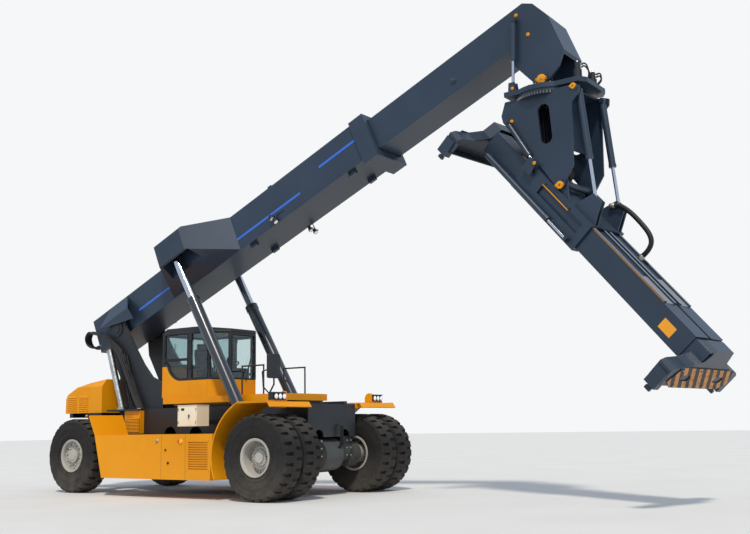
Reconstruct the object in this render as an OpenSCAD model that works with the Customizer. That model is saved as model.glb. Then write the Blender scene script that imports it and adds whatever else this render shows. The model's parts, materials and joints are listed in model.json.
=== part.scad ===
// Reach stacker: a heavy port vehicle on two axles, with a telescopic boom,
// a tilting hanger and a telescopic spreader turned in line with the machine.
// Millimetres. X forward, Y left, Z up. The origin is on the ground, midway
// between the drive wheels, under the front axle.

/* [Wheels] */
// Distance between the drive axle and the steer axle
wheelbase = 6030; // [5900:10:6200]
// Radius of every tyre
tyre_r = 825; // [810:1:835]
// Width of every tyre
tyre_w = 500; // [460:5:520]
// Radius of the rim well
rim_r = 338; // [320:1:345]
// Depth of the tread lugs
lug_h = 46; // [20:1:60]
// Width of the rib round the middle of the tread
tread_rib_w = 90; // [60:5:120]
// Lugs on each shoulder of a tyre
lug_count = 26; // [16:1:30]
// Distance from the centre plane to the middle of an inner drive tyre
drive_inner_y = 1260; // [1240:5:1290]
// Distance between the two tyres of a twin
twin_pitch = 580; // [560:5:600]
// Distance from the centre plane to the middle of a steer tyre
steer_y = 1390; // [1370:5:1420]
// Distance from the centre plane to a king pin
king_pin_y = 930; // [910:5:950]

/* [Chassis] */
// Top of the main frame above the ground
frame_top = 1850; // [1800:5:1880]
// Half width of the front part of the main frame
frame_half_w = 780; // [760:5:785]
// Half width of the main frame between the steer wheels
rear_half_w = 330; // [300:5:340]
// Front face of the main frame
frame_front_x = 250; // [200:10:300]
// Thickness of the frame's plates
frame_plate = 40; // [25:1:50]
// Outer side of the tanks
side_y = 2000; // [1950:10:2050]
// Inner side of the tanks, outside the lift cylinders
tank_inner_y = 1090; // [1085:1:1120]
// Underside of the tanks
tank_bottom = 380; // [350:5:450]
// Top of the tanks
tank_top = 1280; // [1240:5:1290]
// Radius of the tow jaw's bore
tow_bore_r = 26; // [20:1:30]
// Thickness of the fender sheet
fender_plate = 24; // [10:1:30]
// Gap between a drive tyre and its fender
fender_gap = 300; // [280:5:320]

/* [Engine hood] */
// Rear end of the hood
hood_rear_x = -7120; // [-7200:10:-7000]
// Front end of the hood
hood_front_x = -5800; // [-5850:5:-5780]
// Half width of the hood
hood_half_w = 980; // [900:10:1000]
// Lower edge of the hood
hood_low = 1790; // [1770:5:1800]
// Top of the hood at its front end
hood_top = 2570; // [2500:5:2600]
// Thickness of the hood's sheet
hood_plate = 30; // [12:1:40]

/* [Cab] */
// Half width of the cab
cab_half_w = 720; // [680:5:730]
// Rear wall of the cab
cab_rear_x = -4050; // [-4080:5:-4020]
// Front of the cab
cab_front_x = -2240; // [-2280:5:-2200]
// Height of the cab's floor
cab_floor = 2080; // [2070:1:2090]
// Height of the lower edge of the side windows
cab_sill = 2440; // [2400:5:2480]
// Height of the cab's roof
cab_roof = 3620; // [3560:5:3630]
// Thickness of the cab's walls
cab_wall = 50; // [40:1:60]
// Half gauge of the rails that the cab slides on
cab_rail_y = 400; // [380:5:450]

/* [Boom] */
// Height of the boom's pivot
pivot_z = 3760; // [3740:5:3800]
// Place of the boom's pivot along the machine
pivot_x = -5750; // [-5780:5:-5720]
// Angle of the boom above the ground, as parked
boom_angle = 23.4; // [22:0.1:25]
// Half width of the outer boom
outer_half_w = 460; // [450:5:470]
// Underside of the outer boom, below the line of the pivot
outer_low = 170; // [160:5:180]
// Top of the outer boom, above the line of the pivot
outer_top = 680; // [670:5:700]
// Front end of the outer boom, from the pivot
outer_front = 8060; // [7900:10:8150]
// Rear end of the outer boom, behind the pivot
outer_rear = 900; // [850:10:950]
// Thickness of the boom's plates
boom_plate = 25; // [16:1:30]
// Half width of the inner boom
inner_half_w = 385; // [370:5:395]
// Underside of the inner boom, below the line of the pivot
inner_low = 120; // [110:5:125]
// Top of the inner boom, above the line of the pivot
inner_top = 570; // [550:5:590]
// Rear end of the inner boom inside the outer one, from the pivot
inner_rear = 2600; // [2500:10:2700]
// Distance from the pivot to the head pin, along the boom
head_pin_along = 11760; // [11700:10:11800]
// Drop of the head pin below the line of the pivot
head_pin_drop = 950; // [930:5:970]
// Radius of the boom's pivot pin
pivot_pin_r = 110; // [90:1:130]
// Radius of the head pin
head_pin_r = 75; // [60:1:85]

/* [Lift cylinders] */
// Distance from the centre plane to a lift cylinder
lift_y = 930; // [925:1:945]
// Place of the foot pin along the machine
lift_foot_x = -990; // [-1010:5:-980]
// Height of the foot pin
lift_foot_z = 1000; // [980:5:1020]
// Place of the upper pin along the boom
lift_top_along = 2650; // [2600:5:2700]
// Height of the upper pin above the line of the pivot
lift_top_up = 600; // [580:5:620]
// Radius of a lift cylinder's barrel
lift_barrel_r = 135; // [120:1:140]
// Radius of a lift cylinder's rod
lift_rod_r = 95; // [80:1:100]
// Length of a barrel from its foot pin
lift_barrel_len = 3720; // [3700:10:3750]

/* [Rotator and hanger] */
// Heading of the spreader's long axis, as parked
slew_rest = -6.4; // [-8:0.1:-5]
// Underside of the rotator's plate above the ground
rotator_z = 7290; // [7280:1:7300]
// Thickness of the rotator's plate
rotator_plate = 90; // [80:5:100]
// Radius of the slewing ring
ring_r = 640; // [600:5:660]
// Height of the slewing ring
ring_h = 110; // [90:5:120]
// Distance from the centre plane to the middle of a hanger plate
hanger_y = 520; // [515:1:530]
// Thickness of a hanger plate
hanger_plate = 36; // [25:1:40]
// Angle of the spreader below level, as parked
tilt_rest = 48.7; // [45:0.1:50]
// Place of the tilt pin in front of the slew axis
tilt_pin_a = 440; // [430:5:450]
// Height of the tilt pin above the ground, as parked
tilt_pin_z = 5525; // [5500:5:5550]

/* [Spreader] */
// Place of the tilt pin along the spreader, from its middle
tilt_pin_along = -940; // [-960:5:-900]
// Height of the tilt pin above the plane that the twistlocks stand on
tilt_pin_up = 1030; // [1025:1:1050]
// Half length of the main beams
main_half_len = 2700; // [2650:10:2740]
// Height of the wear strips on the main beams
strip_h = 30; // [20:1:40]
// Outer half width of the pair of main beams
main_half_w = 500; // [480:5:510]
// Underside of the main beams
main_low = 410; // [400:5:420]
// Top of the main beams
main_top = 850; // [840:5:855]
// Thickness of the main beams' plates
main_plate = 18; // [12:1:22]
// Half distance between the twistlocks along the spreader, arms in
lock_half_len = 2926; // [2926:1:2926]
// Half distance between the twistlocks across the spreader
lock_half_w = 1130; // [1130:1:1130]

/* [Hidden] */
$fn = 48;
clear = 20;             // gap between pieces that slide past each other
seat = 0.3;             // gap at a seat between two bodies
fit = 0.05;             // radial clearance of a pin in its bore
steer_x = -wheelbase;
drive_outer_y = drive_inner_y + twin_pitch;
yellow = "orange";
dark = [0.17, 0.19, 0.23];
black = [0.09, 0.09, 0.1];
steel = "silver";

// the head pin and, below it, the slew axis
head_pin_x = pivot_x + head_pin_along * cos(boom_angle) + head_pin_drop * sin(boom_angle);
head_pin_z = pivot_z + head_pin_along * sin(boom_angle) - head_pin_drop * cos(boom_angle);
// the upper pin of the lift cylinders
lift_top_x = pivot_x + lift_top_along * cos(boom_angle) - lift_top_up * sin(boom_angle);
lift_top_z = pivot_z + lift_top_along * sin(boom_angle) + lift_top_up * cos(boom_angle);
lift_len = norm([lift_top_x - lift_foot_x, lift_top_z - lift_foot_z]);
lift_lean = atan2(lift_top_x - lift_foot_x, lift_top_z - lift_foot_z);

// a block between two corners
module block(low, high) {
    translate(low) cube(high - low);
}

// a profile drawn in X and Z, from y0 to y1
module prism_y(y0, y1) {
    translate([0, y1, 0]) rotate([90, 0, 0]) linear_extrude(y1 - y0) children();
}

// a round bar along Y
module bar_y(x, z, r, y0, y1) {
    translate([x, y1, z]) rotate([90, 0, 0]) cylinder(r = r, h = y1 - y0);
}

// the same thing on the right side and on the left side
module both_sides() {
    children();
    mirror([0, 1, 0]) children();
}

// frames that the moving pieces are drawn in
module at_boom() {
    translate([pivot_x, 0, pivot_z]) rotate([0, -boom_angle, 0]) children();
}
module at_slew() {
    translate([head_pin_x, 0, 0]) rotate([0, 0, slew_rest]) children();
}
module at_tilt() {
    at_slew() translate([tilt_pin_a, 0, tilt_pin_z]) rotate([0, tilt_rest, 0]) children();
}
// origin in the middle of the spreader, in the plane that the twistlocks stand on
module at_spreader() {
    at_tilt() translate([-tilt_pin_along, 0, -tilt_pin_up]) children();
}

// a point of the boom's frame, given along and up, in X and Z
function in_boom(along, up) = [
    pivot_x + along * cos(boom_angle) - up * sin(boom_angle),
    pivot_z + along * sin(boom_angle) + up * cos(boom_angle)];

// a cylinder's barrel and rod between two pins in the XZ plane
function reach(a, b) = norm(b - a);
function lean(a, b) = atan2(b[0] - a[0], b[1] - a[1]);
module along_link(a, b, y) {
    translate([a[0], y, a[1]]) rotate([0, lean(a, b), 0]) children();
}
// the barrel: an eye with its bore, a neck, and a tube that closes round the rod at its far end
module ram_barrel(a, b, y, r, rod_r, len, eye_r, eye_w, pin_r, neck) {
    tube = len - neck;
    along_link(a, b, y) difference() {
        union() {
            bar_y(0, 0, eye_r, -eye_w / 2, eye_w / 2);
            block([-eye_r * 0.7, -eye_w / 2, 0], [eye_r * 0.7, eye_w / 2, neck + 10]);
            translate([0, 0, neck]) rotate_extrude() polygon([[0, 0], [r, 0], [r, tube - r], [r * 1.1, tube - r * 0.9],
                [r * 1.1, tube], [rod_r + seat, tube], [rod_r + seat, tube - r * 0.8], [r * 0.8, tube - r],
                [r * 0.8, 30], [0, 30]]);
        }
        bar_y(0, 0, pin_r + fit, -eye_w, eye_w);
    }
}
// the rod: an eye with its own pin, and a bar that reaches back into the barrel
module ram_rod(a, b, y, r, len, eye_r, eye_w) {
    length = reach(a, b);
    along_link(a, b, y) {
        translate([0, 0, length - len]) cylinder(r = r, h = len);
        block([-eye_r * 0.7, -eye_w / 2, length - eye_r - 15], [eye_r * 0.7, eye_w / 2, length]);
        bar_y(0, length, eye_r, -eye_w / 2, eye_w / 2);
    }
}

// a bent tube through the points, with a ball at each bend
module pipe(points, r) {
    for (i = [0 : len(points) - 2]) {
        run = points[i + 1] - points[i];
        translate(points[i]) rotate([0, acos(run[2] / norm(run)), atan2(run[1], run[0])]) cylinder(r = r, h = norm(run));
    }
    for (i = [1 : len(points) - 2]) translate(points[i]) sphere(r = r * 1.15);
}

// Chassis

module frame_side_profile() {
    difference() {
        polygon([[frame_front_x, frame_top], [frame_front_x, 1180], [-350, 1120], [-700, 900], [-1300, 640],
            [-4300, 640], [-4700, 900], [-4900, 1000], [-4900, frame_top]]);
        translate([-2900, 1250]) circle(r = 190);
        translate([-3700, 1250]) circle(r = 190);
    }
}

module main_frame() {
    color(black) {
        // front part: side plates, top and floor plates, front wall
        both_sides() prism_y(frame_half_w - frame_plate, frame_half_w) frame_side_profile();
        block([-4900, -frame_half_w, frame_top - frame_plate], [frame_front_x, frame_half_w, frame_top]);
        block([-4300, -frame_half_w, 640], [-1300, frame_half_w, 640 + frame_plate]);
        difference() {
            block([frame_front_x - frame_plate, -frame_half_w, 1180], [frame_front_x, frame_half_w, frame_top]);
            both_sides() translate([0, 430, 1180]) rotate([0, 90, 0]) cylinder(r = 150, h = 800);
        }
        block([-1300, -frame_half_w, 640], [-1260, frame_half_w, frame_top]);
        block([-4900, -frame_half_w, 1000], [-4860, frame_half_w, frame_top]);
        // narrow rear part between the steer wheels
        both_sides() prism_y(rear_half_w - frame_plate, rear_half_w)
            polygon([[-4880, 1000], [-5400, 1150], [-6600, 1150], [-6700, 700], [-7050, 700],
                [-7050, 1700], [-4880, 1700]]);
        block([-7100, -rear_half_w, 700], [-7050, rear_half_w, 1700]);
        block([-7050, -rear_half_w, 1700 - frame_plate], [-4880, rear_half_w, 1700]);
        // outriggers that carry the tanks and the lift cylinders' feet
        for (x = [-4200, -1900])
            block([x, -tank_inner_y + seat, 1000], [x + 60, tank_inner_y - seat, 1200]);
        both_sides() lift_foot();
        // seats for the drive axle
        both_sides() {
            block([-190, 420, 1020 + seat], [190, 700, 1190]);
            block([-190, 690, 1156], [190, frame_half_w - 1, 1190]);
        }
        // seat for the steer axle
        block([steer_x - 220, -rear_half_w, 1060], [steer_x + 220, rear_half_w, 1160]);
        // deck beside the pedestal
        both_sides() block([-5640, 620 + seat, frame_top - frame_plate], [-4560, 960, frame_top]);
        // brackets of the electrical box
        for (x = [-2700, -2290]) block([x, -1100 + seat, 1480], [x + 60, -frame_half_w + 1, 1560]);
        // cross beams under the hood
        for (x = [hood_rear_x + 120, hood_front_x - 160])
            block([x, -hood_half_w + hood_plate, 1690], [x + 120, hood_half_w - hood_plate, hood_low]);
        // rails for the cab
        both_sides() block([-3950, cab_rail_y - 50, frame_top], [290, cab_rail_y + 50, 1905 - seat]);
        // air tank below the floor
        translate([-3600, -420, 640 - 130]) rotate([0, 90, 0]) cylinder(r = 150, h = 1700);
    }
}

// tow jaw on the rear wall: two lips with a bore, on a back plate
module tow_jaw() {
    color(black) difference() {
        union() {
            block([-7125, -130, 820], [-7100 - seat, 130, 1040]);
            for (z = [860, 960]) jaw_lip(z);
        }
        translate([-7190, 0, 800]) cylinder(r = tow_bore_r, h = 300);
    }
}
module jaw_lip(z) {
    translate([-7190, 0, z]) cylinder(r = 70, h = 40);
    block([-7190, -70, z], [-7120, 70, z + 40]);
}

// two cheeks with the foot pin of a lift cylinder between them
module lift_foot() {
    cheek = 45;
    for (y = [lift_y - 80 - cheek, lift_y + 80])
        prism_y(y, y + cheek) difference() {
            union() {
                translate([lift_foot_x, lift_foot_z]) circle(r = 150);
                polygon([[lift_foot_x - 150, lift_foot_z], [lift_foot_x + 150, lift_foot_z],
                    [-1180, 700], [-1480, 700]]);
            }
        }
    bar_y(lift_foot_x, lift_foot_z, 60, lift_y - 150, lift_y + 150);
    block([-1470, frame_half_w - frame_plate, 700], [-1190, lift_y + 80 + cheek, 760]);
}

module pedestal() {
    color(black) difference() {
        union() {
            both_sides() prism_y(560, 620) union() {
                translate([pivot_x, pivot_z]) circle(r = 285);
                polygon([[-5580, frame_top], [-5610, 2620], [-5960, 3200], [-6030, 3700], [-5480, 3840],
                    [-5100, 3280], [-4800, 2880], [-4510, 2580], [-4210, 2450], [-4120, 2450],
                    [-4120, frame_top]]);
            }
            // cross wall and the pivot's housing tubes
            translate([-4900, -590, frame_top]) cube([40, 1180, 500]);
            both_sides() bar_y(pivot_x, pivot_z, 190, 619, 640);
            block([-5580, -620, 1700], [-4900 - seat, 620, frame_top]);
        }
        bar_y(pivot_x, pivot_z, pivot_pin_r, -800, 800);
    }
    color(steel) both_sides() bar_y(pivot_x, pivot_z, pivot_pin_r, 402, 650);
}

// side tank with a slanting rear end, towards +Y
module tank_body() {
    prism_y(tank_inner_y, side_y)
        polygon([[-4470, tank_bottom], [-4720, tank_top], [-1170, tank_top], [-1240, tank_bottom]]);
}

module side_tanks() {
    color(yellow) both_sides() difference() {
        tank_body();
        // louvred vent
        for (i = [0 : 11]) block([-1850, side_y - 30, 590 + i * 47], [-1300, side_y + 1, 610 + i * 47]);
    }
}

// fender sheet over a pair of drive tyres, towards +Y
fender_r = tyre_r + fender_gap;
fender_top = 1880;
module fender_body() {
    // behind the tyres it stays outside the lift cylinder's foot
    prism_y(1110, 2070) intersection() {
        translate([0, tyre_r]) difference() {
            circle(r = fender_r + fender_plate, $fn = 192);
            circle(r = fender_r, $fn = 192);
        }
        polygon([[-1500, 400], [-900, 400], [-200, 1000], [-430, 1900], [-1500, 1900]]);
    }
    prism_y(frame_half_w + 60, 2070) polygon([[-470, fender_top - fender_plate], [-450, fender_top],
        [330, fender_top], [400, 1780], [378, 1768], [318, fender_top - fender_plate]]);
    // brackets on the main frame
    for (x = [-380, 180]) block([x, frame_half_w, fender_top - 110], [x + 60, frame_half_w + 300, fender_top - fender_plate]);
}
module fenders() {
    color(yellow) both_sides() fender_body();
}

// slanting guards in front of the steer wheels, and the boxes beside the pedestal
module side_panels() {
    color(yellow) both_sides() {
        prism_y(tank_inner_y, side_y)
            polygon([[-4495 - seat, tank_bottom], [-4745 - seat, tank_top], [-4960, 1700], [-4930, 1712],
                [-4720 - seat, tank_top], [-4470 - seat, tank_bottom]]);
        difference() {
            block([-5080, frame_half_w + seat, 1300], [-4560, 900, frame_top - frame_plate]);
            for (i = [0 : 8]) block([-5040, 875, 1350 + i * 45], [-4800, 901, 1370 + i * 45]);
        }
    }
}

module hood_profile(t) {
    polygon([[hood_rear_x + t, hood_low - t], [hood_rear_x + t, 2120], [hood_rear_x + 60 + t, 2230 - t],
        [hood_rear_x + 420, 2400 - t], [hood_rear_x + 820, 2500 - t], [hood_front_x - t, hood_top - t],
        [hood_front_x - t, hood_low - t]]);
}
module engine_hood() {
    color(yellow) difference() {
        prism_y(-hood_half_w, hood_half_w) hood_profile(0);
        translate([0, 0, -1]) prism_y(-hood_half_w + hood_plate, hood_half_w - hood_plate) hood_profile(hood_plate);
        // sloping shoulders
        both_sides() translate([-7300, hood_half_w - 160, hood_top + 20]) rotate([-50, 0, 0]) cube([1700, 600, 400]);
    }
}

module engine() {
    color("dimgray") block([-6880, -600, 1700], [-5970, 600, 2250]);
}

module counterweight() {
    color(black) block([-7050, -rear_half_w + frame_plate, 720], [-6740, rear_half_w - frame_plate, 1660]);
}

module exhaust() {
    color(steel) translate([-5350, -760, frame_top + seat]) {
        cylinder(r = 110, h = 50);
        translate([0, 0, 40]) rotate([0, -19.6, 0]) cylinder(r = 75, h = 1440);
    }
}

module hose_pack() {
    color(black) {
        block([-5220, -690, frame_top + seat], [-4930, -625, frame_top + 60]);
        for (i = [0 : 3])
            translate([-5180 + i * 70, -655, frame_top + 50]) rotate([0, -17, 0]) cylinder(r = 22, h = 1450 - i * 60);
    }
}

module electrical_box() {
    color("ivory") {
        difference() {
            block([-2750, -1450, 1440], [-2180, -1100, 1870]);
            // seam round the door
            block([-2740, -1451, 1455], [-2190, -1446, 1460]);
            block([-2740, -1451, 1850], [-2190, -1446, 1855]);
            for (x = [-2740, -2380, -2195]) block([x, -1451, 1455], [x + 5, -1446, 1855]);
        }
    }
}

module drive_axle() {
    color(black) {
        bar_y(0, tyre_r, 150, -930, 930);
        bar_y(0, tyre_r, 330, -280, 280);
        both_sides() bar_y(0, tyre_r, 265, 720, 960);
        both_sides() block([-180, 430, tyre_r], [180, 700, 1020]);
    }
}

module steer_axle() {
    color(black) {
        block([steer_x - 170, -760, 620], [steer_x + 170, 760, 900]);
        block([steer_x - 130, -260, 900], [steer_x + 130, 260, 1060]);
        both_sides() for (z = [560, 910]) block([steer_x - 130, 700, z], [steer_x + 130, king_pin_y + 110, z + 110]);
        both_sides() translate([steer_x, king_pin_y, 560]) cylinder(r = 50, h = 460);
    }
}

module headlamps() {
    color("dimgray") both_sides() block([110, 1430, 1905], [230, 1800, 2055]);
    color("white") both_sides() for (y = [1497, 1615, 1733])
        translate([230, y, 1980]) rotate([0, 90, 0]) cylinder(r = 50, h = 25);
    // foot, and the cheek beside the lamps
    color(yellow) both_sides() {
        block([60, 1390, fender_top], [225, 1800, 1906]);
        prism_y(1390, 1431) polygon([[60, 1905], [60, 1990], [100, 2060], [150, 2085], [225, 2075], [225, 1905]]);
    }
}

module mirrors() {
    color(black) {
        // housing with rounded corners
        translate([-480, -1025, 2615]) rotate([90, 0, 90]) linear_extrude(70) union() {
            square([250, 490], center = true);
            square([330, 400], center = true);
            for (y = [-125, 125], z = [-200, 200]) translate([y, z]) circle(r = 42);
        }
        // two tubes down to the fender, and an elbow at each bend
        pipe([[-445, -1010, 2400], [-445, -1010, 2250], [-560, -1010, 2080], [-560, -1010, fender_top]], 17);
        pipe([[-445, -1150, 2560], [-560, -1230, 2500], [-580, -1180, 2200], [-560, -1010, 2060]], 13);
    }
}

// Cab

module cab_plan(t) {
    polygon([[cab_rear_x + t, -cab_half_w + t], [-2580, -cab_half_w + t], [cab_front_x - t, -400],
        [cab_front_x - t, 400], [-2580, cab_half_w - t], [cab_rear_x + t, cab_half_w - t]]);
}

module cab_platform() {
    color(yellow) {
        block([-3950, -cab_half_w, 1990], [-480, cab_half_w, cab_floor]);
        both_sides() block([-3950, cab_rail_y - 60, 1905], [-950, cab_rail_y + 60, 1990]);
        // skirt round the platform's edge
        both_sides() block([-3990, cab_half_w - 20, 1940], [-470, cab_half_w + 20, cab_floor]);
        block([-500, -cab_half_w, 1940], [-470, cab_half_w, cab_floor]);
    }
}
// handrails of the porch
module porch_rails() {
    color(black) both_sides()
        pipe([[-1640, cab_half_w - 50, cab_floor + seat], [-1640, cab_half_w - 50, 2680],
            [-1030, cab_half_w - 50, 2680], [-1030, cab_half_w - 50, cab_floor + seat]], 17);
}

// what lies above the sill in side view: level, then rising in a hollow curve to the rear corner
module above_sill(gap) {
    curve_r = 472;
    translate([-3450, cab_sill + curve_r]) circle(r = curve_r - gap, $fn = 96);
    translate([-3460, cab_sill + 1 + gap]) square([1300, 1300]);
    translate([cab_rear_x - 100, cab_sill + 330 + gap]) square([1500, 1300]);
}
module cab_base() {
    color(yellow) difference() {
        translate([0, 0, cab_floor]) linear_extrude(cab_sill + 331 - cab_floor) cab_plan(0);
        translate([0, 0, cab_floor + 40]) linear_extrude(cab_sill) cab_plan(cab_wall);
        prism_y(-cab_half_w - 10, cab_half_w + 10) above_sill(0);
        cab_doorway();
        // seams of the panels
        for (x = [-3170, -2620]) block([x, -cab_half_w - 1, cab_floor + 30], [x + 6, -cab_half_w + 4, cab_sill + 2]);
        block([-4000, -cab_half_w - 1, cab_floor + 24], [-2590, -cab_half_w + 4, cab_floor + 30]);
    }
}
door_x0 = -3200;
door_x1 = -2600;
module cab_doorway() {
    block([door_x0, cab_half_w - cab_wall - 10, cab_floor + 60], [door_x1, cab_half_w + 10, 3480]);
}

// window openings of the cab, each with a margin all round
module cab_windows(gap) {
    // right side: a sliding window in two rows, then one pane
    prism_y(-cab_half_w - 10, -cab_half_w + 100) intersection() {
        above_sill(45 + gap);
        union() {
            translate([cab_rear_x + 70 + gap, 2930 + gap]) square([730 - 2 * gap, 540 - 2 * gap]);
            translate([cab_rear_x + 70 + gap, 2300]) square([730 - 2 * gap, 590 - gap]);
            translate([-3120 + gap, 2300]) square([500 - 2 * gap, 1170 - gap]);
        }
    }
    // left side, behind the door
    prism_y(cab_half_w - 100, cab_half_w + 10) intersection() {
        above_sill(45 + gap);
        translate([cab_rear_x + 70 + gap, 2300]) square([700 - 2 * gap, 1170 - gap]);
    }
    // rear, front, and the two slanting panes beside the front
    block([cab_rear_x - 10, -560 + gap, 2850 + gap], [cab_rear_x + 100, 560 - gap, 3460 - gap]);
    block([cab_front_x - 100, -360 + gap, cab_sill + 30 + gap], [cab_front_x + 10, 360 - gap, 3420 - gap]);
    both_sides() translate([-2580, cab_half_w, cab_sill + 30]) rotate([0, 0, -43.3])
        block([40 + gap, -100, gap], [425 - gap, 100, 990 - gap]);
}
module cab_frame() {
    color(black) {
        door_pins();
        difference() {
            intersection() {
                translate([0, 0, cab_sill - 1]) linear_extrude(cab_roof - cab_sill + 1) cab_plan(0);
                prism_y(-cab_half_w - 10, cab_half_w + 10) above_sill(0);
                // roof, lower at both ends
                prism_y(-cab_half_w - 10, cab_half_w + 10) polygon([[cab_rear_x - 10, cab_sill - 10],
                    [cab_rear_x - 10, cab_roof - 110], [cab_rear_x + 130, cab_roof], [-3000, cab_roof],
                    [cab_front_x + 10, cab_roof - 70], [cab_front_x + 10, cab_sill - 10]]);
            }
            translate([0, 0, cab_sill - 2]) linear_extrude(cab_roof - cab_sill - 130) cab_plan(cab_wall);
            cab_doorway();
            cab_windows(0);
        }
    }
}

module cab_glass() {
    color("lightblue", 0.4) intersection() {
        cab_windows(seat);
        difference() {
            translate([0, 0, cab_sill]) linear_extrude(cab_roof - cab_sill) cab_plan(20);
            translate([0, 0, cab_sill - 1]) linear_extrude(cab_roof) cab_plan(30);
        }
    }
}

module cab_interior() {
    color("dimgray") {
        // seat's column
        block([-3400, -150, cab_floor + 40 + seat], [-3100, 150, 2520 - seat]);
        // console, and the steering wheel on its column
        block([-2500, -300, cab_floor + 40 + seat], [-2350, 300, 2700]);
        translate([-2480, 0, cab_floor + 52]) rotate([0, -12, 0]) cylinder(r = 35, h = 720);
        translate([-2630, 0, 2785]) rotate([0, -20, 0]) {
            rotate_extrude() translate([185, 0]) circle(r = 15, $fn = 24);
            for (turn = [0, 120, 240]) rotate([0, 0, turn]) block([0, -16, -8], [178, 16, 8]);
            cylinder(r = 45, h = 40, center = true);
        }
    }
}
// the driver's seat
module driver_seat() {
    color("dimgray") {
        block([-3500, -260, 2520], [-3000, 260, 2640]);
        translate([-3440, 0, 2600]) rotate([0, -8, 0]) block([-110, -250, 0], [0, 250, 660]);
    }
}

// hinges of a door: pins on the cab, barrels with bores on the door
hinge_x = door_x0 + 2;
hinge_y = cab_half_w + 20;
hinge_z = [2560, 3380];
module door_pins() {
    for (z = hinge_z) {
        translate([hinge_x, hinge_y, z - 60]) cylinder(r = 8, h = 90);
        block([hinge_x - 60, cab_half_w - 1, z - 60], [door_x0, hinge_y + 14, z - 40 - seat]);
        block([door_x0 - 1, cab_half_w + 3, z - 60], [hinge_x + 8, hinge_y + 14, z - 40 - seat]);
    }
}
module door_body() {
    for (z = hinge_z) difference() {
        union() {
            translate([hinge_x, hinge_y, z - 40]) cylinder(r = 16, h = 70);
            block([hinge_x, cab_half_w - 1, z - 40], [hinge_x + 60, hinge_y + 12, z + 30]);
        }
        translate([hinge_x, hinge_y, z - 80]) cylinder(r = 8 + fit, h = 200);
        block([hinge_x - 40, cab_half_w - 20, z - 80], [hinge_x + 4, cab_half_w + 1, z + 80]);
    }
    difference() {
        block([door_x0 + 6, cab_half_w - cab_wall, cab_floor + 66], [door_x1 - 9, cab_half_w, 3474]);
        block([door_x0 + 60, cab_half_w - cab_wall - 1, cab_sill + 40], [door_x1 - 60, cab_half_w + 1, 3420]);
    }
}
module door_left() {
    color(black) door_body();
}

// Wheels

// half of a tyre's tread: lugs on one shoulder, as a toothed disc
module toothed_disc(turn) {
    step = 360 / lug_count;
    gap_r = tyre_r - lug_h;
    rotate([0, 0, turn]) polygon([for (i = [0 : lug_count - 1]) each [
        [gap_r * cos(i * step), gap_r * sin(i * step)],
        [tyre_r * 1.02 * cos((i + 0.06) * step), tyre_r * 1.02 * sin((i + 0.06) * step)],
        [tyre_r * 1.02 * cos((i + 0.66) * step), tyre_r * 1.02 * sin((i + 0.66) * step)],
        [gap_r * cos((i + 0.72) * step), gap_r * sin((i + 0.72) * step)]]]);
}
module tyre(y) {
    half = tyre_w / 2;
    bead_r = rim_r + 30 + seat;
    translate([0, y, 0]) rotate([90, 0, 0]) intersection() {
        rotate_extrude() polygon([[bead_r, -half * 0.78], [bead_r + 60, -half * 0.9], [tyre_r * 0.72, -half],
            [tyre_r * 0.92, -half * 0.97], [tyre_r * 0.985, -half * 0.84], [tyre_r, -half * 0.6], [tyre_r, half * 0.6],
            [tyre_r * 0.985, half * 0.84], [tyre_r * 0.92, half * 0.97], [tyre_r * 0.72, half],
            [bead_r + 60, half * 0.9], [bead_r, half * 0.78]]);
        union() {
            // rib round the middle, and lugs on either side of it
            translate([0, 0, -tread_rib_w / 2]) cylinder(r = tyre_r * 1.02, h = tread_rib_w);
            linear_extrude(half + 1) toothed_disc(0);
            translate([0, 0, -half - 1]) linear_extrude(half + 1) toothed_disc(180 / lug_count);
        }
    }
}
// rim with its well towards the outer side
module rim(y, disc_y, slots) {
    half = tyre_w / 2 * 0.88;
    translate([0, y, 0]) rotate([90, 0, 0]) rotate_extrude()
        polygon([[rim_r - 8, -half], [rim_r + 30, -half], [rim_r + 30, -half + 20], [rim_r, -half + 30],
            [rim_r, half - 30], [rim_r + 30, half - 20], [rim_r + 30, half], [rim_r - 8, half],
            [rim_r - 22, half - 30], [rim_r - 22, -half + 30]]);
    translate([0, disc_y, 0]) rotate([90, 0, 0]) difference() {
        cylinder(r = rim_r - 10, h = 30, center = true);
        // cooling slots in the wheel's disc
        for (i = [0 : slots - 1]) rotate([0, 0, i * 360 / slots])
            block([rim_r - 85, -80 / slots * 2.4, -30], [rim_r - 35, 80 / slots * 2.4, 30]);
    }
}

module drive_tyres() {
    translate([0, 0, tyre_r]) for (y = [drive_inner_y, drive_outer_y]) tyre(y);
}
module drive_rims() {
    translate([0, 0, tyre_r]) {
        rim(drive_inner_y, drive_inner_y + 150, 8);
        rim(drive_outer_y, drive_outer_y - 40, 24);
        // planetary hub through both rims, with its cover
        translate([0, 960 + seat, 0]) rotate([-90, 0, 0]) rotate_extrude()
            polygon([[0, 0], [190, 0], [190, 830], [228, 850], [228, 915], [200, 940], [95, 948], [95, 975], [0, 975]]);
    }
}
module drive_tyres_right() {
    color(black) mirror([0, 1, 0]) drive_tyres();
}
module drive_tyres_left() {
    color(black) drive_tyres();
}
module drive_rims_right() {
    color(steel) mirror([0, 1, 0]) drive_rims();
}
module drive_rims_left() {
    color(steel) drive_rims();
}

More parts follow.
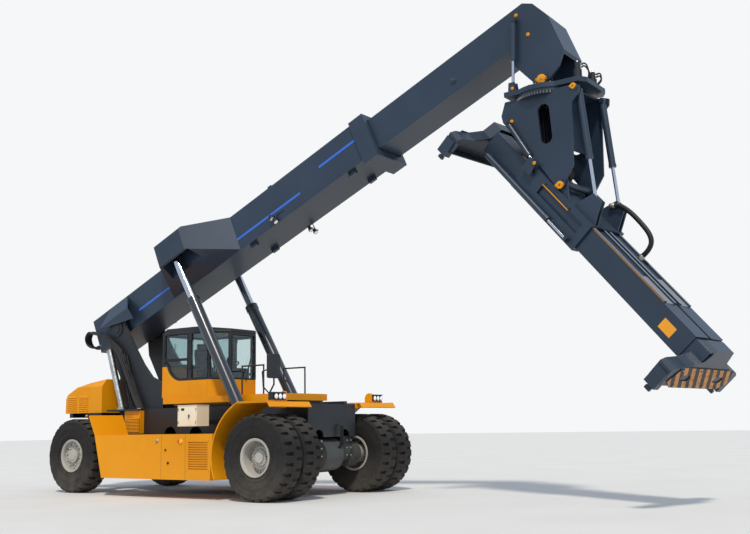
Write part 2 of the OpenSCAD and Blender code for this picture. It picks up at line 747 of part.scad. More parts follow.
module knuckle() {
    difference() {
        translate([steer_x, king_pin_y, 675]) cylinder(r = 95, h = 230);
        translate([steer_x, king_pin_y, 500]) cylinder(r = 50 + fit, h = 600);
    }
    difference() {
        bar_y(steer_x, tyre_r, 75, king_pin_y + 60, steer_y + 20);
        translate([steer_x, king_pin_y, 500]) cylinder(r = 60, h = 600);
    }
}
module knuckle_right() {
    color(black) mirror([0, 1, 0]) knuckle();
}
module knuckle_left() {
    color(black) knuckle();
}
module steer_tyre() {
    translate([steer_x, 0, tyre_r]) tyre(steer_y);
}
module steer_rim() {
    translate([steer_x, 0, tyre_r]) difference() {
        union() {
            rim(steer_y, steer_y + 110, 12);
            translate([0, king_pin_y + 190, 0]) rotate([-90, 0, 0]) cylinder(r = 150, h = steer_y - king_pin_y - 10);
        }
        translate([0, king_pin_y, 0]) rotate([-90, 0, 0]) cylinder(r = 75 + fit, h = steer_y - king_pin_y + 21);
    }
}
module steer_tyre_right() {
    color(black) mirror([0, 1, 0]) steer_tyre();
}
module steer_tyre_left() {
    color(black) steer_tyre();
}
module steer_rim_right() {
    color(steel) mirror([0, 1, 0]) steer_rim();
}
module steer_rim_left() {
    color(steel) steer_rim();
}

// Boom

module box_tube(x0, x1, half_w, low, top, t) {
    difference() {
        block([x0, -half_w, low], [x1, half_w, top]);
        block([x0 - 1, -half_w + t, low + t], [x1 + 1, half_w - t, top - t]);
    }
}

// outrigger that holds a lift cylinder's rod end, towards +Y
wing_y = lift_y + 185;
module lift_wing() {
    difference() {
        intersection() {
            // seen from the side, from above, and along the boom
            prism_y(outer_half_w - 20, wing_y) polygon([[1800, -150], [1800, 740], [2330, 895], [3150, 895],
                [4150, outer_top - 2], [4150, -outer_low + 10], [2000, -outer_low + 10]]);
            translate([0, 0, -300]) linear_extrude(1500) polygon([[1850, outer_half_w - 20], [2300, wing_y],
                [3150, wing_y], [4150, outer_half_w - 20]]);
            rotate([90, 0, 90]) linear_extrude(5000) polygon([[outer_half_w - 20, -outer_low + 10],
                [outer_half_w - 20, 720], [720, 895], [1060, 895], [wing_y, 850], [wing_y, 330]]);
        }
        // pocket for the rod's eye, open below
        translate([lift_top_along, 0, lift_top_up]) prism_y(lift_y - 150, lift_y + 150)
            polygon([[-205, 272], [400, 272], [450, 0], [810, -900], [-490, -900], [-225, -100]]);
    }
}

// cover that flares out over the pedestal's cheek, towards +Y
module root_flare() {
    intersection() {
        prism_y(outer_half_w - 15, 700) polygon([[-500, 240], [-180, 670], [450, 670], [660, -60], [150, 70]]);
        rotate([90, 0, 90]) translate([0, 0, -700]) linear_extrude(1500) polygon([[outer_half_w - 15, 670],
            [outer_half_w + 15, 670], [690, 270], [690, -200], [668, -200], [668, 262], [outer_half_w - 15, 640]]);
    }
}

module outer_boom() {
    color(dark) at_boom() difference() {
        union() {
            box_tube(-outer_rear, outer_front, outer_half_w, -outer_low, outer_top, boom_plate);
            // collar with the wear pads
            difference() {
                block([outer_front - 250, -outer_half_w - 60, -outer_low - 130], [outer_front + 120, outer_half_w + 60, outer_top + 30]);
                block([outer_front - 251, -inner_half_w - clear, -inner_low - clear], [outer_front + 121, inner_half_w + clear, inner_top + clear]);
            }
            // wear pads inside the collar
            both_sides() block([outer_front - 60, 150, inner_top + seat], [outer_front + 60, 320, inner_top + clear + 5]);
            both_sides() block([outer_front - 60, 150, -inner_low - clear - 5], [outer_front + 60, 320, -inner_low - seat]);
            both_sides() block([outer_front - 60, inner_half_w + seat, 60], [outer_front + 60, inner_half_w + clear + 5, 400]);
            both_sides() lift_wing();
            // bosses on the pivot, and the covers over the pedestal's cheeks
            both_sides() prism_y(outer_half_w - 1, 550) circle(r = 210);
            both_sides() root_flare();
            // hose guides below the boom
            both_sides() for (x = [4350, 7300])
                block([x, 300, -outer_low - 80], [x + 180, 380, -outer_low + 1]);
            both_sides() prism_y(outer_half_w - 60, outer_half_w) circle(r = 210);
        }
        bar_y(0, 0, pivot_pin_r + fit, -700, 700);
    }
}

module inner_boom() {
    color(dark) at_boom() {
        box_tube(inner_rear, 11440, inner_half_w, -inner_low, inner_top, boom_plate);
        // wear pads at the rear end, on the inside of the outer boom
        for (s = [-1, 1]) {
            block([inner_rear + 40, s * 240 - 90, inner_top], [inner_rear + 240, s * 240 + 90, outer_top - boom_plate - seat]);
            block([inner_rear + 40, s * 240 - 90, -outer_low + boom_plate + seat], [inner_rear + 240, s * 240 + 90, -inner_low]);
        }
        both_sides() block([inner_rear + 40, inner_half_w, 300], [inner_rear + 240, outer_half_w - boom_plate - seat, 500]);
    }
}

module head_profile() {
    polygon([[11440, inner_top], [12080, inner_top], [12250, 430], [12400, 20], [12380, -740], [12150, -960],
        [11860, -1080], [11660, -1070], [11540, -740], [11440, -450]]);
}
module boom_head() {
    color(dark) at_boom() difference() {
        union() {
            both_sides() prism_y(330, inner_half_w) head_profile();
            difference() {
                prism_y(-inner_half_w, inner_half_w) head_profile();
                prism_y(-400, 400) translate([0, 0]) polygon([[11439, inner_top - 30], [12060, inner_top - 30],
                    [12220, 420], [12370, 20], [12350, -740], [12130, -1300], [11439, -1300]]);
            }
            // bulkhead on the inner boom's end
            block([11440, -inner_half_w, -450], [11470, inner_half_w, inner_top]);
            both_sides() bar_y(head_pin_along, -head_pin_drop, 155, 300, inner_half_w + 20);
            // studs for the dampers
            both_sides() bar_y(damper_top_along, damper_top_up, 35, 330, damper_y + 40);
        }
        bar_y(head_pin_along, -head_pin_drop, head_pin_r, -600, 600);
    }
    color("gold") at_boom() bar_y(head_pin_along, -head_pin_drop, head_pin_r, -inner_half_w - 60, inner_half_w + 60);
}

// Lift cylinders

lift_foot = [lift_foot_x, lift_foot_z];
lift_top = [lift_top_x, lift_top_z];
module lift_barrels() {
    color(black) both_sides() {
        ram_barrel(lift_foot, lift_top, lift_y, lift_barrel_r, lift_rod_r, lift_barrel_len, 120, 150, 60, 175);
    }
}
module lift_rods() {
    color(steel) both_sides() ram_rod(lift_foot, lift_top, lift_y, lift_rod_r, 3700, 130, 200);
}

// Dampers between the boom's head and the rotator

damper_y = 475;
damper_top_along = 11820;
damper_top_up = 340;
damper_top = in_boom(damper_top_along, damper_top_up);
damper_eye = [head_pin_x - 510, 7500];
module damper_barrels() {
    color(black) both_sides() ram_barrel(damper_top, damper_eye, damper_y, 55, 28, 790, 62, 60, 35, 80);
}
module damper_rods() {
    color(steel) both_sides() ram_rod(damper_top, damper_eye, damper_y, 28, 800, 45, 50);
}

// Rotator and hanger

module rotator() {
    color(dark) {
        translate([head_pin_x, 0, 0]) {
            // saddle plate
            translate([0, 0, rotator_z]) linear_extrude(rotator_plate) union() {
                circle(r = ring_r + 20);
                polygon([[-660, -560], [800, -560], [900, -400], [900, 400], [800, 560], [-660, 560]]);
            }
            // lugs on the head pin
            difference() {
                prism_y(-290, 290) union() {
                    translate([0, head_pin_z]) circle(r = 150);
                    polygon([[-330, rotator_z + 50], [-150, head_pin_z], [150, head_pin_z], [330, rotator_z + 50]]);
                }
                block([-400, -180, 7200], [400, 180, 7900]);
                bar_y(0, head_pin_z, head_pin_r + fit, -400, 400);
            }
            translate([0, 0, rotator_z - ring_h / 2]) cylinder(r = ring_r, h = ring_h / 2 + 1);
        }
        // ears for the dampers' eyes
        both_sides() for (y = [damper_y - 65, damper_y + 40])
            prism_y(y, y + 25) polygon([[damper_eye[0] - 80, rotator_z + 20], [damper_eye[0] - 60, damper_eye[1] + 50],
                [damper_eye[0] + 60, damper_eye[1] + 50], [damper_eye[0] + 100, rotator_z + 20]]);
    }
}

module slew_motors() {
    color(black) both_sides() translate([head_pin_x + 700, 330, rotator_z + rotator_plate]) {
        cylinder(r = 75, h = 200);
        cylinder(r = 105, h = 40);
        cylinder(r = 50, h = 330);
    }
}

tilt_ram_top = [830, 7130];
trim_ram_top = [-560, 6800];
tilt_pin = [tilt_pin_a, tilt_pin_z];
// a point of the spreader's frame, given along and up, in the slew frame
function in_slew(u, n) = [
    tilt_pin_a + (u - tilt_pin_along) * cos(tilt_rest) + (n - tilt_pin_up) * sin(tilt_rest),
    tilt_pin_z - (u - tilt_pin_along) * sin(tilt_rest) + (n - tilt_pin_up) * cos(tilt_rest)];
tilt_ram_eye = in_slew(-217, 1208);
trim_ram_eye = in_slew(-1590, 960);
trim_y = 600;
tilt_ram_y = 400;

module hanger() {
    hang_top = rotator_z - ring_h / 2 - 8;
    color(dark) at_slew() {
        difference() {
            both_sides() prism_y(hanger_y - hanger_plate / 2, hanger_y + hanger_plate / 2) union() {
                translate(tilt_pin) circle(r = 106);
                polygon([[-730, 6980], [-640, hang_top], [790, hang_top], [910, 7180], [900, 7060], [745, 6900],
                    [720, 5780], [tilt_pin_a + 105, tilt_pin_z], [tilt_pin_a - 95, tilt_pin_z - 40], [150, 5760], [-700, 6850]]);
            }
            // long slot
            translate([190, 0, 6640]) rotate([90, 0, 0]) linear_extrude(2000, center = true) union() {
                translate([-20, 250]) circle(r = 120);
                translate([20, -250]) circle(r = 120);
                polygon([[-140, 250], [100, 250], [140, -250], [-100, -250]]);
            }
            bar_y(tilt_pin[0], tilt_pin[1], 60, -900, 900);
        }
        translate([0, 0, hang_top - 40]) linear_extrude(40) union() {
            circle(r = ring_r);
            polygon([[-640, -hanger_y], [700, -hanger_y], [700, hanger_y], [-640, hanger_y]]);
        }
        translate([0, 0, hang_top - 1]) cylinder(r = ring_r - 60, h = 9 - seat);
        // cross walls between the plates
        block([420, -hanger_y, 6200], [450, hanger_y, hang_top - 10]);
        block([-330, -hanger_y, 6450], [-300, hanger_y, hang_top - 10]);
        color("gold") bar_y(tilt_pin[0], tilt_pin[1], 60, -hanger_y - 50, hanger_y + 50);
        // pins of the rams
        both_sides() bar_y(tilt_ram_top[0], tilt_ram_top[1], 28, tilt_ram_y - 60, hanger_y + 30);
        both_sides() bar_y(trim_ram_top[0], trim_ram_top[1], 22, hanger_y, trim_y + 45);
    }
}

module tilt_barrels() {
    color(black) at_slew() both_sides()
        ram_barrel(tilt_ram_top, tilt_ram_eye, tilt_ram_y, 62, 32, 1270, 56, 70, 28, 80);
}
module tilt_rods() {
    color(steel) at_slew() both_sides() ram_rod(tilt_ram_top, tilt_ram_eye, tilt_ram_y, 32, 1180, 50, 44);
}
module trim_barrels() {
    color(black) at_slew() both_sides()
        ram_barrel(trim_ram_top, trim_ram_eye, trim_y, 45, 24, 820, 44, 60, 22, 65);
}
module trim_rods() {
    color(steel) at_slew() both_sides() ram_rod(trim_ram_top, trim_ram_eye, trim_y, 24, 690, 42, 50);
}

// Spreader

wall_y = main_half_w + clear;
shift_ram_y = wall_y + 95;
shift_ram_z = 430;
plate_low = main_top + strip_h + seat;
module carriage() {
    color(dark) at_spreader() {
        // top plate, side walls with a window, and the hooks below the beams
        block([-1700, -wall_y - 30, plate_low], [100, wall_y + 30, plate_low + 35]);
        both_sides() difference() {
            block([-1700, wall_y, main_low - 60], [100, wall_y + 30, plate_low + 34]);
            block([-1180, wall_y - 1, 600], [-60, wall_y + 31, 800]);
        }
        both_sides() block([-1700, main_half_w - 150, main_low - 60], [100, wall_y + 1, main_low - seat]);
        // ears on the tilt pin
        both_sides() difference() {
            prism_y(450, 490) union() {
                translate([tilt_pin_along, tilt_pin_up]) circle(r = 128);
                polygon([[-1250, plate_low + 20], [tilt_pin_along - 110, tilt_pin_up + 60],
                    [tilt_pin_along + 110, tilt_pin_up + 60], [-600, plate_low + 20]]);
            }
            bar_y(tilt_pin_along, tilt_pin_up, 60 + fit, 0, 900);
        }
        // ears beside the tilt rams' eyes
        both_sides() for (y = [tilt_ram_y - 65, tilt_ram_y + 40])
            prism_y(y, y + 25) polygon([[-480, plate_low + 20], [-330, 1290], [-110, 1290], [90, plate_low + 20]]);
        // brackets for the trim rams' eyes
        both_sides() for (y = [trim_y - 52, trim_y + 32])
            prism_y(y, y + 18) polygon([[-1700, main_top - 100], [-1680, 1000], [-1500, 1000], [-1450, main_top - 100]]);
        both_sides() block([-1700, wall_y + 20, main_top - 60], [-1450, trim_y + 50, main_top - 30]);
        // side shift ram's rod, in its lug
        translate([-1900, -shift_ram_y, shift_ram_z]) rotate([0, 90, 0]) cylinder(r = 26, h = 1800);
        block([-130, -shift_ram_y - 45, shift_ram_z - 45], [-70, -wall_y - 10, shift_ram_z + 45]);
    }
}

module spreader_frame() {
    color(dark) at_spreader() {
        for (s = [-1, 1]) translate([0, s * (main_half_w + 40) / 2, 0])
            box_tube(-main_half_len, main_half_len, (main_half_w - 40) / 2, main_low, main_top, main_plate);
        for (x = [-2200, -300, 1500]) block([x, -60, main_low + 100], [x + 120, 60, main_top - 100]);
        // wear strips that the carriage slides on
        both_sides() for (y = [60, main_half_w - 90]) block([-1930, y, main_top - 1], [1930, y + 70, main_top + strip_h]);
        // side shift ram's barrel, on its bracket
        translate([-2480, -shift_ram_y, shift_ram_z]) rotate([0, 90, 0]) rotate_extrude()
            polygon([[0, 0], [52, 0], [52, 1780], [58, 1790], [58, 1870], [26 + seat, 1870], [26 + seat, 1810],
                [44, 1790], [44, 40], [0, 40]]);
        for (x = [-2470, -1960]) block([x, -shift_ram_y + 46, shift_ram_z - 40], [x + 60, -main_half_w + 1, shift_ram_z + 40]);
    }
}

// bell-shaped end frame of an arm, drawn at the +X end
function bell(t) = [[1160 - t, 100 + t], [1200 - t, 400], [1100 - t, 460 - t], [780, 500 - t], [420 - t, 640 - t],
    [300 - t, 880 - t], [-300 + t, 880 - t], [-420 + t, 640 - t], [-780, 500 - t], [-1100 + t, 460 - t],
    [-1200 + t, 400], [-1160 + t, 100 + t]];
module end_frame() {
    rotate([90, 0, 90]) {
        translate([0, 0, 3020]) linear_extrude(20) polygon(bell(0));
        translate([0, 0, 2790]) linear_extrude(231) difference() {
            polygon(bell(0));
            polygon(bell(20));
        }
    }
    // twistlock housings and locks
    both_sides() translate([lock_half_len, lock_half_w, 0]) {
        block([-110, -70, seat], [110, 90, 330]);
        translate([0, 0, -100]) cylinder(r = 30, h = 110);
        block([-52, -30, -100], [52, 30, -40]);
    }
}
// a tube that slides on the floor of a main beam
module arm_tube() {
    box_tube(-2200, 3021, (main_half_w - 40) / 2 - main_plate - 6, main_low + main_plate + seat,
        main_top - main_plate - 12, 14);
}
module lower_arm() {
    color(dark) at_spreader() {
        end_frame();
        end_plate();
        translate([0, -(main_half_w + 40) / 2, 0])
            arm_tube();
    }
}
module upper_arm() {
    color(dark) at_spreader() mirror([1, 0, 0]) {
        end_frame();
        end_plate();
        translate([0, (main_half_w + 40) / 2, 0])
            arm_tube();
    }
}
module end_plate() {
    rotate([90, 0, 90]) translate([0, 0, 3039]) linear_extrude(16) difference() {
        polygon([[-1080, 200], [-930, 510], [930, 510], [1080, 200], [850, 80], [-850, 80]]);
        for (s = [-600, 600]) union() {
            translate([s - 90, 290]) circle(r = 60);
            translate([s + 90, 290]) circle(r = 60);
            translate([s - 90, 230]) square([180, 120]);
        }
    }
}
main_frame();
tow_jaw();
pedestal();
side_tanks();
fenders();
side_panels();
engine_hood();
engine();
counterweight();
exhaust();
hose_pack();
electrical_box();
drive_axle();
steer_axle();
headlamps();
mirrors();
cab_platform();
cab_base();
cab_frame();
cab_glass();
cab_interior();
porch_rails();
driver_seat();
door_left();
drive_tyres_right();
drive_tyres_left();
drive_rims_right();
drive_rims_left();
knuckle_right();
knuckle_left();
steer_tyre_right();
steer_tyre_left();
steer_rim_right();
steer_rim_left();
outer_boom();
inner_boom();
boom_head();
lift_barrels();
lift_rods();
damper_barrels();
damper_rods();
rotator();
slew_motors();
hanger();
tilt_barrels();
tilt_rods();
trim_barrels();
trim_rods();
carriage();
spreader_frame();
upper_arm();
lower_arm();
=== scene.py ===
# %% [markdown]
# A reach stacker: a yard machine with a telescopic boom that carries a spreader.
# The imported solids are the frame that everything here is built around. Each object is in
# metres, +X forward, +Y to the machine's left, +Z up, with the ground at zero.

import json
import math
from functools import partial

import bmesh
import bpy
from mathutils import Matrix, Vector


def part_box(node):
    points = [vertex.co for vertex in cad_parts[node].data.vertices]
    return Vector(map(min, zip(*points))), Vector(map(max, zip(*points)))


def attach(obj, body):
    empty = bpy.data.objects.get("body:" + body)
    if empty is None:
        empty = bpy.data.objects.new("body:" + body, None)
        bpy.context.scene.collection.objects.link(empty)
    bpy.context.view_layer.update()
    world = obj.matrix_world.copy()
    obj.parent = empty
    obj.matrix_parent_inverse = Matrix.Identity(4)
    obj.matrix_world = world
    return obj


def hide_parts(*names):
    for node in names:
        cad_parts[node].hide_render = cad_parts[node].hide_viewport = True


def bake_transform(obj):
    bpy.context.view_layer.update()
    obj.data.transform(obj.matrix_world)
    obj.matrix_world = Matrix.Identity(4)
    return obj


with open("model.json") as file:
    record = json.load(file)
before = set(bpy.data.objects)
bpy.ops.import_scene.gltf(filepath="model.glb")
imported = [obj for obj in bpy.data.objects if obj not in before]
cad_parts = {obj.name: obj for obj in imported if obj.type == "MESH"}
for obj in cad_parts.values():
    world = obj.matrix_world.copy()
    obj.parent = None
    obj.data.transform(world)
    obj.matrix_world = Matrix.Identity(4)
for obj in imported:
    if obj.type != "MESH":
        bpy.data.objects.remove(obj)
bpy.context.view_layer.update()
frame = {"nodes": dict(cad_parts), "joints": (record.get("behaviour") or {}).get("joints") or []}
nodes = frame["nodes"]
pin_of = {joint["name"]: Vector(joint["pos_m"]) for joint in frame["joints"] if "pos_m" in joint}

# %% [markdown]
# The camera stands low, to the machine's front right, where the photograph was taken. Its
# place, heading and lens were worked out from lengths that are known on such machines, so
# that each piece falls where the photograph shows it.

# %% Camera
CAMERA_PLACE = Vector((12.9203, -16.0909, 1.3926))
CAMERA_HEADING = math.radians(125.6286)
CAMERA_RISE = math.radians(9.1234)
CAMERA_ROLL = math.radians(-0.9274)
CAMERA_LENS_MM = 47.39


def camera_axes(heading, rise, roll):
    """Right, up and forward directions of a camera, from its angles."""
    forward = Vector((math.cos(heading) * math.cos(rise), math.sin(heading) * math.cos(rise),
                      math.sin(rise)))
    level_right = Vector((math.sin(heading), -math.cos(heading), 0))
    level_up = level_right.cross(forward)
    right = math.cos(roll) * level_right + math.sin(roll) * level_up
    up = -math.sin(roll) * level_right + math.cos(roll) * level_up
    return right, up, forward


right, up, forward = camera_axes(CAMERA_HEADING, CAMERA_RISE, CAMERA_ROLL)
camera_data = bpy.data.cameras.new("camera")
camera_data.lens = CAMERA_LENS_MM
camera_data.sensor_width = 36
camera_data.sensor_fit = "HORIZONTAL"
camera = bpy.data.objects.new("camera", camera_data)
turn = Matrix((right, up, -forward)).transposed()
camera.matrix_world = Matrix.Translation(CAMERA_PLACE) @ turn.to_4x4()
bpy.context.scene.collection.objects.link(camera)
bpy.context.scene.camera = camera
bpy.context.scene.view_settings.view_transform = "Standard"
print("camera at", tuple(round(v, 2) for v in camera.location))

# %% [markdown]
# Every material below is a small network of nodes. One function adds a node, sets its values
# and links its inputs, so that a network reads as a list of what it does. Two more open an
# empty material and close it with its shader. Paint charts give colours as sRGB hex
# values, and shaders want linear light, so one function turns one into the other.

# %% Nodes, materials and colours


def add_node(tree, kind, settings=None, links=None):
    """Add one node, set its sockets or properties, and link its inputs."""
    node = tree.nodes.new("ShaderNode" + kind)
    for key, value in (settings or {}).items():
        if isinstance(key, int) or key in node.inputs:
            node.inputs[key].default_value = value
        else:
            setattr(node, key, value)
    for key, source in (links or {}).items():
        tree.links.new(source, node.inputs[key])
    return node


def linear(hex_colour):
    """Linear red, green, blue and an alpha of 1, from an sRGB hex value."""
    channels = [int(hex_colour[i:i + 2], 16) / 255 for i in (0, 2, 4)]
    return tuple(c / 12.92 if c <= 0.04045 else ((c + 0.055) / 1.055) ** 2.4
                 for c in channels) + (1.0,)


def new_finish(name):
    """An empty material, its node tree and its object coordinates in metres."""
    finish = bpy.data.materials.new(name)
    finish.use_nodes = True
    tree = finish.node_tree
    tree.nodes.clear()
    return finish, tree, add_node(tree, "TexCoord").outputs["Object"]


def shaded(finish, tree, settings=None, links=None):
    """The finish, closed with its surface shader and its output."""
    shader = add_node(tree, "BsdfPrincipled", settings, links)
    add_node(tree, "OutputMaterial", None, {"Surface": shader.outputs[0]})
    return finish


print("orange enamel in linear light", [round(c, 3) for c in linear("E39500")])

# %% [markdown]
# A studio floor and soft light stand in for the yard. The world is a plain white to the
# camera and to glass, a blue sky to gloss, which gives the dark enamel its cool sheen, and
# a softer blue-white to all that it lights, so that the shapes keep their shade. A broad
# sun from the right front gives the long soft shadow.

# %% Floor, sky and sun
FLOOR_HALF = 120.0
SUN_STRENGTH = 2.6
SUN_SPREAD = math.radians(6)
SUN_DIRECTION = Vector((-0.42, 0.62, -1.0))
SKY_STRENGTH = 0.72
GLOSS_STRENGTH = 0.8

world = bpy.data.worlds.new("studio")
bpy.context.scene.world = world
world.use_nodes = True
sky = world.node_tree
sky.nodes.clear()
path = add_node(sky, "LightPath")
direct = add_node(sky, "Math", {"operation": "MAXIMUM"},
                  {0: path.outputs["Is Camera Ray"], 1: path.outputs["Is Transmission Ray"]})
soft = add_node(sky, "Background", {"Color": linear("E6F0FF"), "Strength": SKY_STRENGTH})
white = add_node(sky, "Background", {"Color": linear("F6F7F8"), "Strength": 1.0})
gloss = add_node(sky, "Background", {"Color": linear("CBDCF3"), "Strength": GLOSS_STRENGTH})
lit = add_node(sky, "MixShader", None, {0: path.outputs["Is Glossy Ray"], 1: soft.outputs[0],
                                        2: gloss.outputs[0]})
mix = add_node(sky, "MixShader", None, {0: direct.outputs[0], 1: lit.outputs[0],
                                        2: white.outputs[0]})
add_node(sky, "OutputWorld", None, {"Surface": mix.outputs[0]})

sun = bpy.data.lights.new("sun", "SUN")
sun.energy = SUN_STRENGTH
sun.angle = SUN_SPREAD
sun.color = linear("FFF8EC")[:3]
sun_holder = bpy.data.objects.new("sun", sun)
sun_holder.rotation_euler = SUN_DIRECTION.to_track_quat("-Z", "Y").to_euler()
bpy.context.scene.collection.objects.link(sun_holder)

floor_mesh = bpy.data.meshes.new("floor")
floor_mesh.from_pydata([(-FLOOR_HALF, -FLOOR_HALF, 0), (FLOOR_HALF, -FLOOR_HALF, 0),
                        (FLOOR_HALF, FLOOR_HALF, 0), (-FLOOR_HALF, FLOOR_HALF, 0)], [],
                       [(0, 1, 2, 3)])
floor = bpy.data.objects.new("floor", floor_mesh)
bpy.context.scene.collection.objects.link(floor)
floor_finish, floor_tree, floor_place = new_finish("smooth_concrete")
floor_cloud = add_node(floor_tree, "TexNoise", {"Scale": 0.5, "Detail": 4.0},
                       {"Vector": floor_place})
floor_tone = add_node(floor_tree, "Mix", {"data_type": "RGBA", 6: linear("C9C8C5"),
                                          7: linear("D6D5D2")}, {0: floor_cloud.outputs["Fac"]})
shaded(floor_finish, floor_tree, {"Roughness": 0.9}, {"Base Color": floor_tone.outputs[2]})
floor_mesh.materials.append(floor_finish)
print("floor", FLOOR_HALF * 2, "m wide")

# %% [markdown]
# The machine's steel is coated with two-pack enamel, sprayed on. Up close it has a faint
# orange peel, over the months its colour fades in broad clouds, edges rub down to the grey
# primer, and dust from the yard settles on what looks up and on what is near the ground.
# Each of these is one small group of nodes, worked out on the object's own coordinates in
# metres, so that the pattern moves with the piece and keeps its size.

# %% Parts of a weathered finish
PEEL_MM = 5.0        # real orange peel is 1 to 2 mm, drawn coarser so that it shows
CLOUD_M = 1.4        # patches of faded paint
PATCH_M = 0.22       # patches of dust
EDGE_MM = 9.0        # rubbed band along an edge, drawn wider so that it shows
DUST_COLOUR = "A2988A"


def noise(tree, place, size_m, detail=3.0, roughness=0.55):
    """A soft random pattern whose lumps are about size_m across."""
    return add_node(tree, "TexNoise", {"Scale": 1 / size_m, "Detail": detail,
                                       "Roughness": roughness}, {"Vector": place}).outputs["Fac"]


def ramp(tree, value, low, high, out_low=0.0, out_high=1.0):
    """The value's range from low to high, stretched to another range and held at its ends."""
    return add_node(tree, "MapRange", {"From Min": low, "From Max": high, "To Min": out_low,
                                       "To Max": out_high}, {"Value": value}).outputs[0]


def maths(tree, operation, first, second):
    """One sum on two values, each a socket or a number."""
    node = add_node(tree, "Math", {"operation": operation})
    for i, value in enumerate((first, second)):
        if isinstance(value, (int, float)):
            node.inputs[i].default_value = value
        else:
            tree.links.new(value, node.inputs[i])
    return node.outputs[0]


def blend_colours(tree, share, first, second):
    """Two colours mixed by share, each a socket or a hex value."""
    node = add_node(tree, "Mix", {"data_type": "RGBA"}, {0: share})
    for i, colour in ((6, first), (7, second)):
        if isinstance(colour, str):
            node.inputs[i].default_value = linear(colour)
        else:
            tree.links.new(colour, node.inputs[i])
    return node.outputs[2]


def dust_share(tree, place, amount, ground_top):
    """How much dust covers each point: on what looks up, and below ground_top, in patches."""
    facing = add_node(tree, "TexCoord").outputs["Normal"]
    height = add_node(tree, "SeparateXYZ", None, {0: place}).outputs["Z"]
    upward = add_node(tree, "SeparateXYZ", None, {0: facing}).outputs["Z"]
    low = ramp(tree, height, 0.1, ground_top, 1.0, 0.0)
    top = ramp(tree, upward, 0.3, 1.0, 0.0, 0.8)
    both = maths(tree, "MAXIMUM", low, top)
    patches = ramp(tree, noise(tree, place, PATCH_M, 6.0, 0.65), 0.3, 0.75, 0.25, 1.0)
    return maths(tree, "MULTIPLY", maths(tree, "MULTIPLY", both, patches), amount)


def edge_share(tree, place, amount):
    """Where a sharp edge is rubbed, broken up by noise."""
    rounded = add_node(tree, "Bevel", {"samples": 4, "Radius": EDGE_MM / 1000}).outputs[0]
    flat = add_node(tree, "NewGeometry").outputs["Normal"]
    alike = add_node(tree, "VectorMath", {"operation": "DOT_PRODUCT"},
                     {0: rounded, 1: flat}).outputs["Value"]
    edge = ramp(tree, alike, 0.9, 0.999, 1.0, 0.0)
    broken = ramp(tree, noise(tree, place, 0.06, 5.0, 0.7), 0.52, 0.66)
    return maths(tree, "MULTIPLY", maths(tree, "MULTIPLY", edge, broken), amount)


def fine_bump(tree, height, depth_mm, strength=0.4):
    """A bump normal from a 0 to 1 height."""
    return add_node(tree, "Bump", {"Strength": strength, "Distance": depth_mm / 1000},
                    {"Height": height}).outputs[0]


print("dust patches", PATCH_M, "m, edge wear", EDGE_MM, "mm")

# %% [markdown]
# One function makes every enamel of the machine. The gloss is a thin clear coat over the
# pigment. Dust is rough, so the roughness rises wherever it lies.

# %% Sprayed enamel


def sprayed_enamel(name, colour, faded, roughness=0.38, coat=0.35, dust=0.45, ground_top=1.1,
                   worn="77726A", ior=1.5):
    """Enamel on steel: pigment and fade, rubbed edges, dust, orange peel, and a clear coat."""
    finish, tree, place = new_finish(name)
    clouds = ramp(tree, noise(tree, place, CLOUD_M, 4.0), 0.35, 0.7)
    paint = blend_colours(tree, clouds, colour, faded)
    paint = blend_colours(tree, edge_share(tree, place, 0.6), paint, worn)
    dusty = dust_share(tree, place, dust, ground_top)
    paint = blend_colours(tree, dusty, paint, DUST_COLOUR)
    rough = maths(tree, "ADD", maths(tree, "MULTIPLY", dusty, 0.5), roughness)
    peel = fine_bump(tree, noise(tree, place, PEEL_MM / 1000, 2.0), 0.15, 0.3)
    return shaded(finish, tree, {"Coat Weight": coat, "Coat Roughness": 0.12, "IOR": ior},
                  {"Base Color": paint, "Roughness": rough, "Normal": peel})


orange_enamel = sprayed_enamel("orange_enamel", "E39500", "D68A00", roughness=0.5, coat=0.05,
                               dust=0.06, ground_top=1.0, worn="B07A18", ior=1.3)
boom_enamel = sprayed_enamel("blue_grey_boom_enamel", "1F2D3D", "27374A", roughness=0.42, coat=0.12,
                             dust=0.08, ground_top=0.2, worn="4C5460")
chassis_enamel = sprayed_enamel("black_chassis_enamel", "14171B", "1B1E22", roughness=0.5,
                                coat=0.15, dust=0.22, ground_top=1.5, worn="4A4540")
barrel_enamel = sprayed_enamel("gloss_barrel_enamel", "23272D", "2B3036", roughness=0.24, coat=0.7,
                               dust=0.08, ground_top=0.3, worn="4A4D52")
cream_enamel = sprayed_enamel("cream_enamel", "EDE6CF", "E4DCC4", roughness=0.4, dust=0.3,
                              ground_top=1.2)
rim_enamel = sprayed_enamel("silver_rim_enamel", "B5B2AA", "A29F97", roughness=0.36, coat=0.3,
                            dust=0.5, ground_top=1.3)
axle_enamel = sprayed_enamel("grey_green_axle_enamel", "2C3334", "363D3D", roughness=0.55, coat=0.1,
                             dust=0.3, ground_top=1.4)
engine_enamel = sprayed_enamel("engine_block_enamel", "5E6468", "54595C", roughness=0.5, coat=0.1,
                               dust=0.5, ground_top=2.5)
print("enamels made")

# %% [markdown]
# Cylinder rods are ground steel with hard chrome, almost a mirror, with fine lines along
# their stroke. The exhaust is a stainless tube, a little browned by heat.

# %% Bare metals


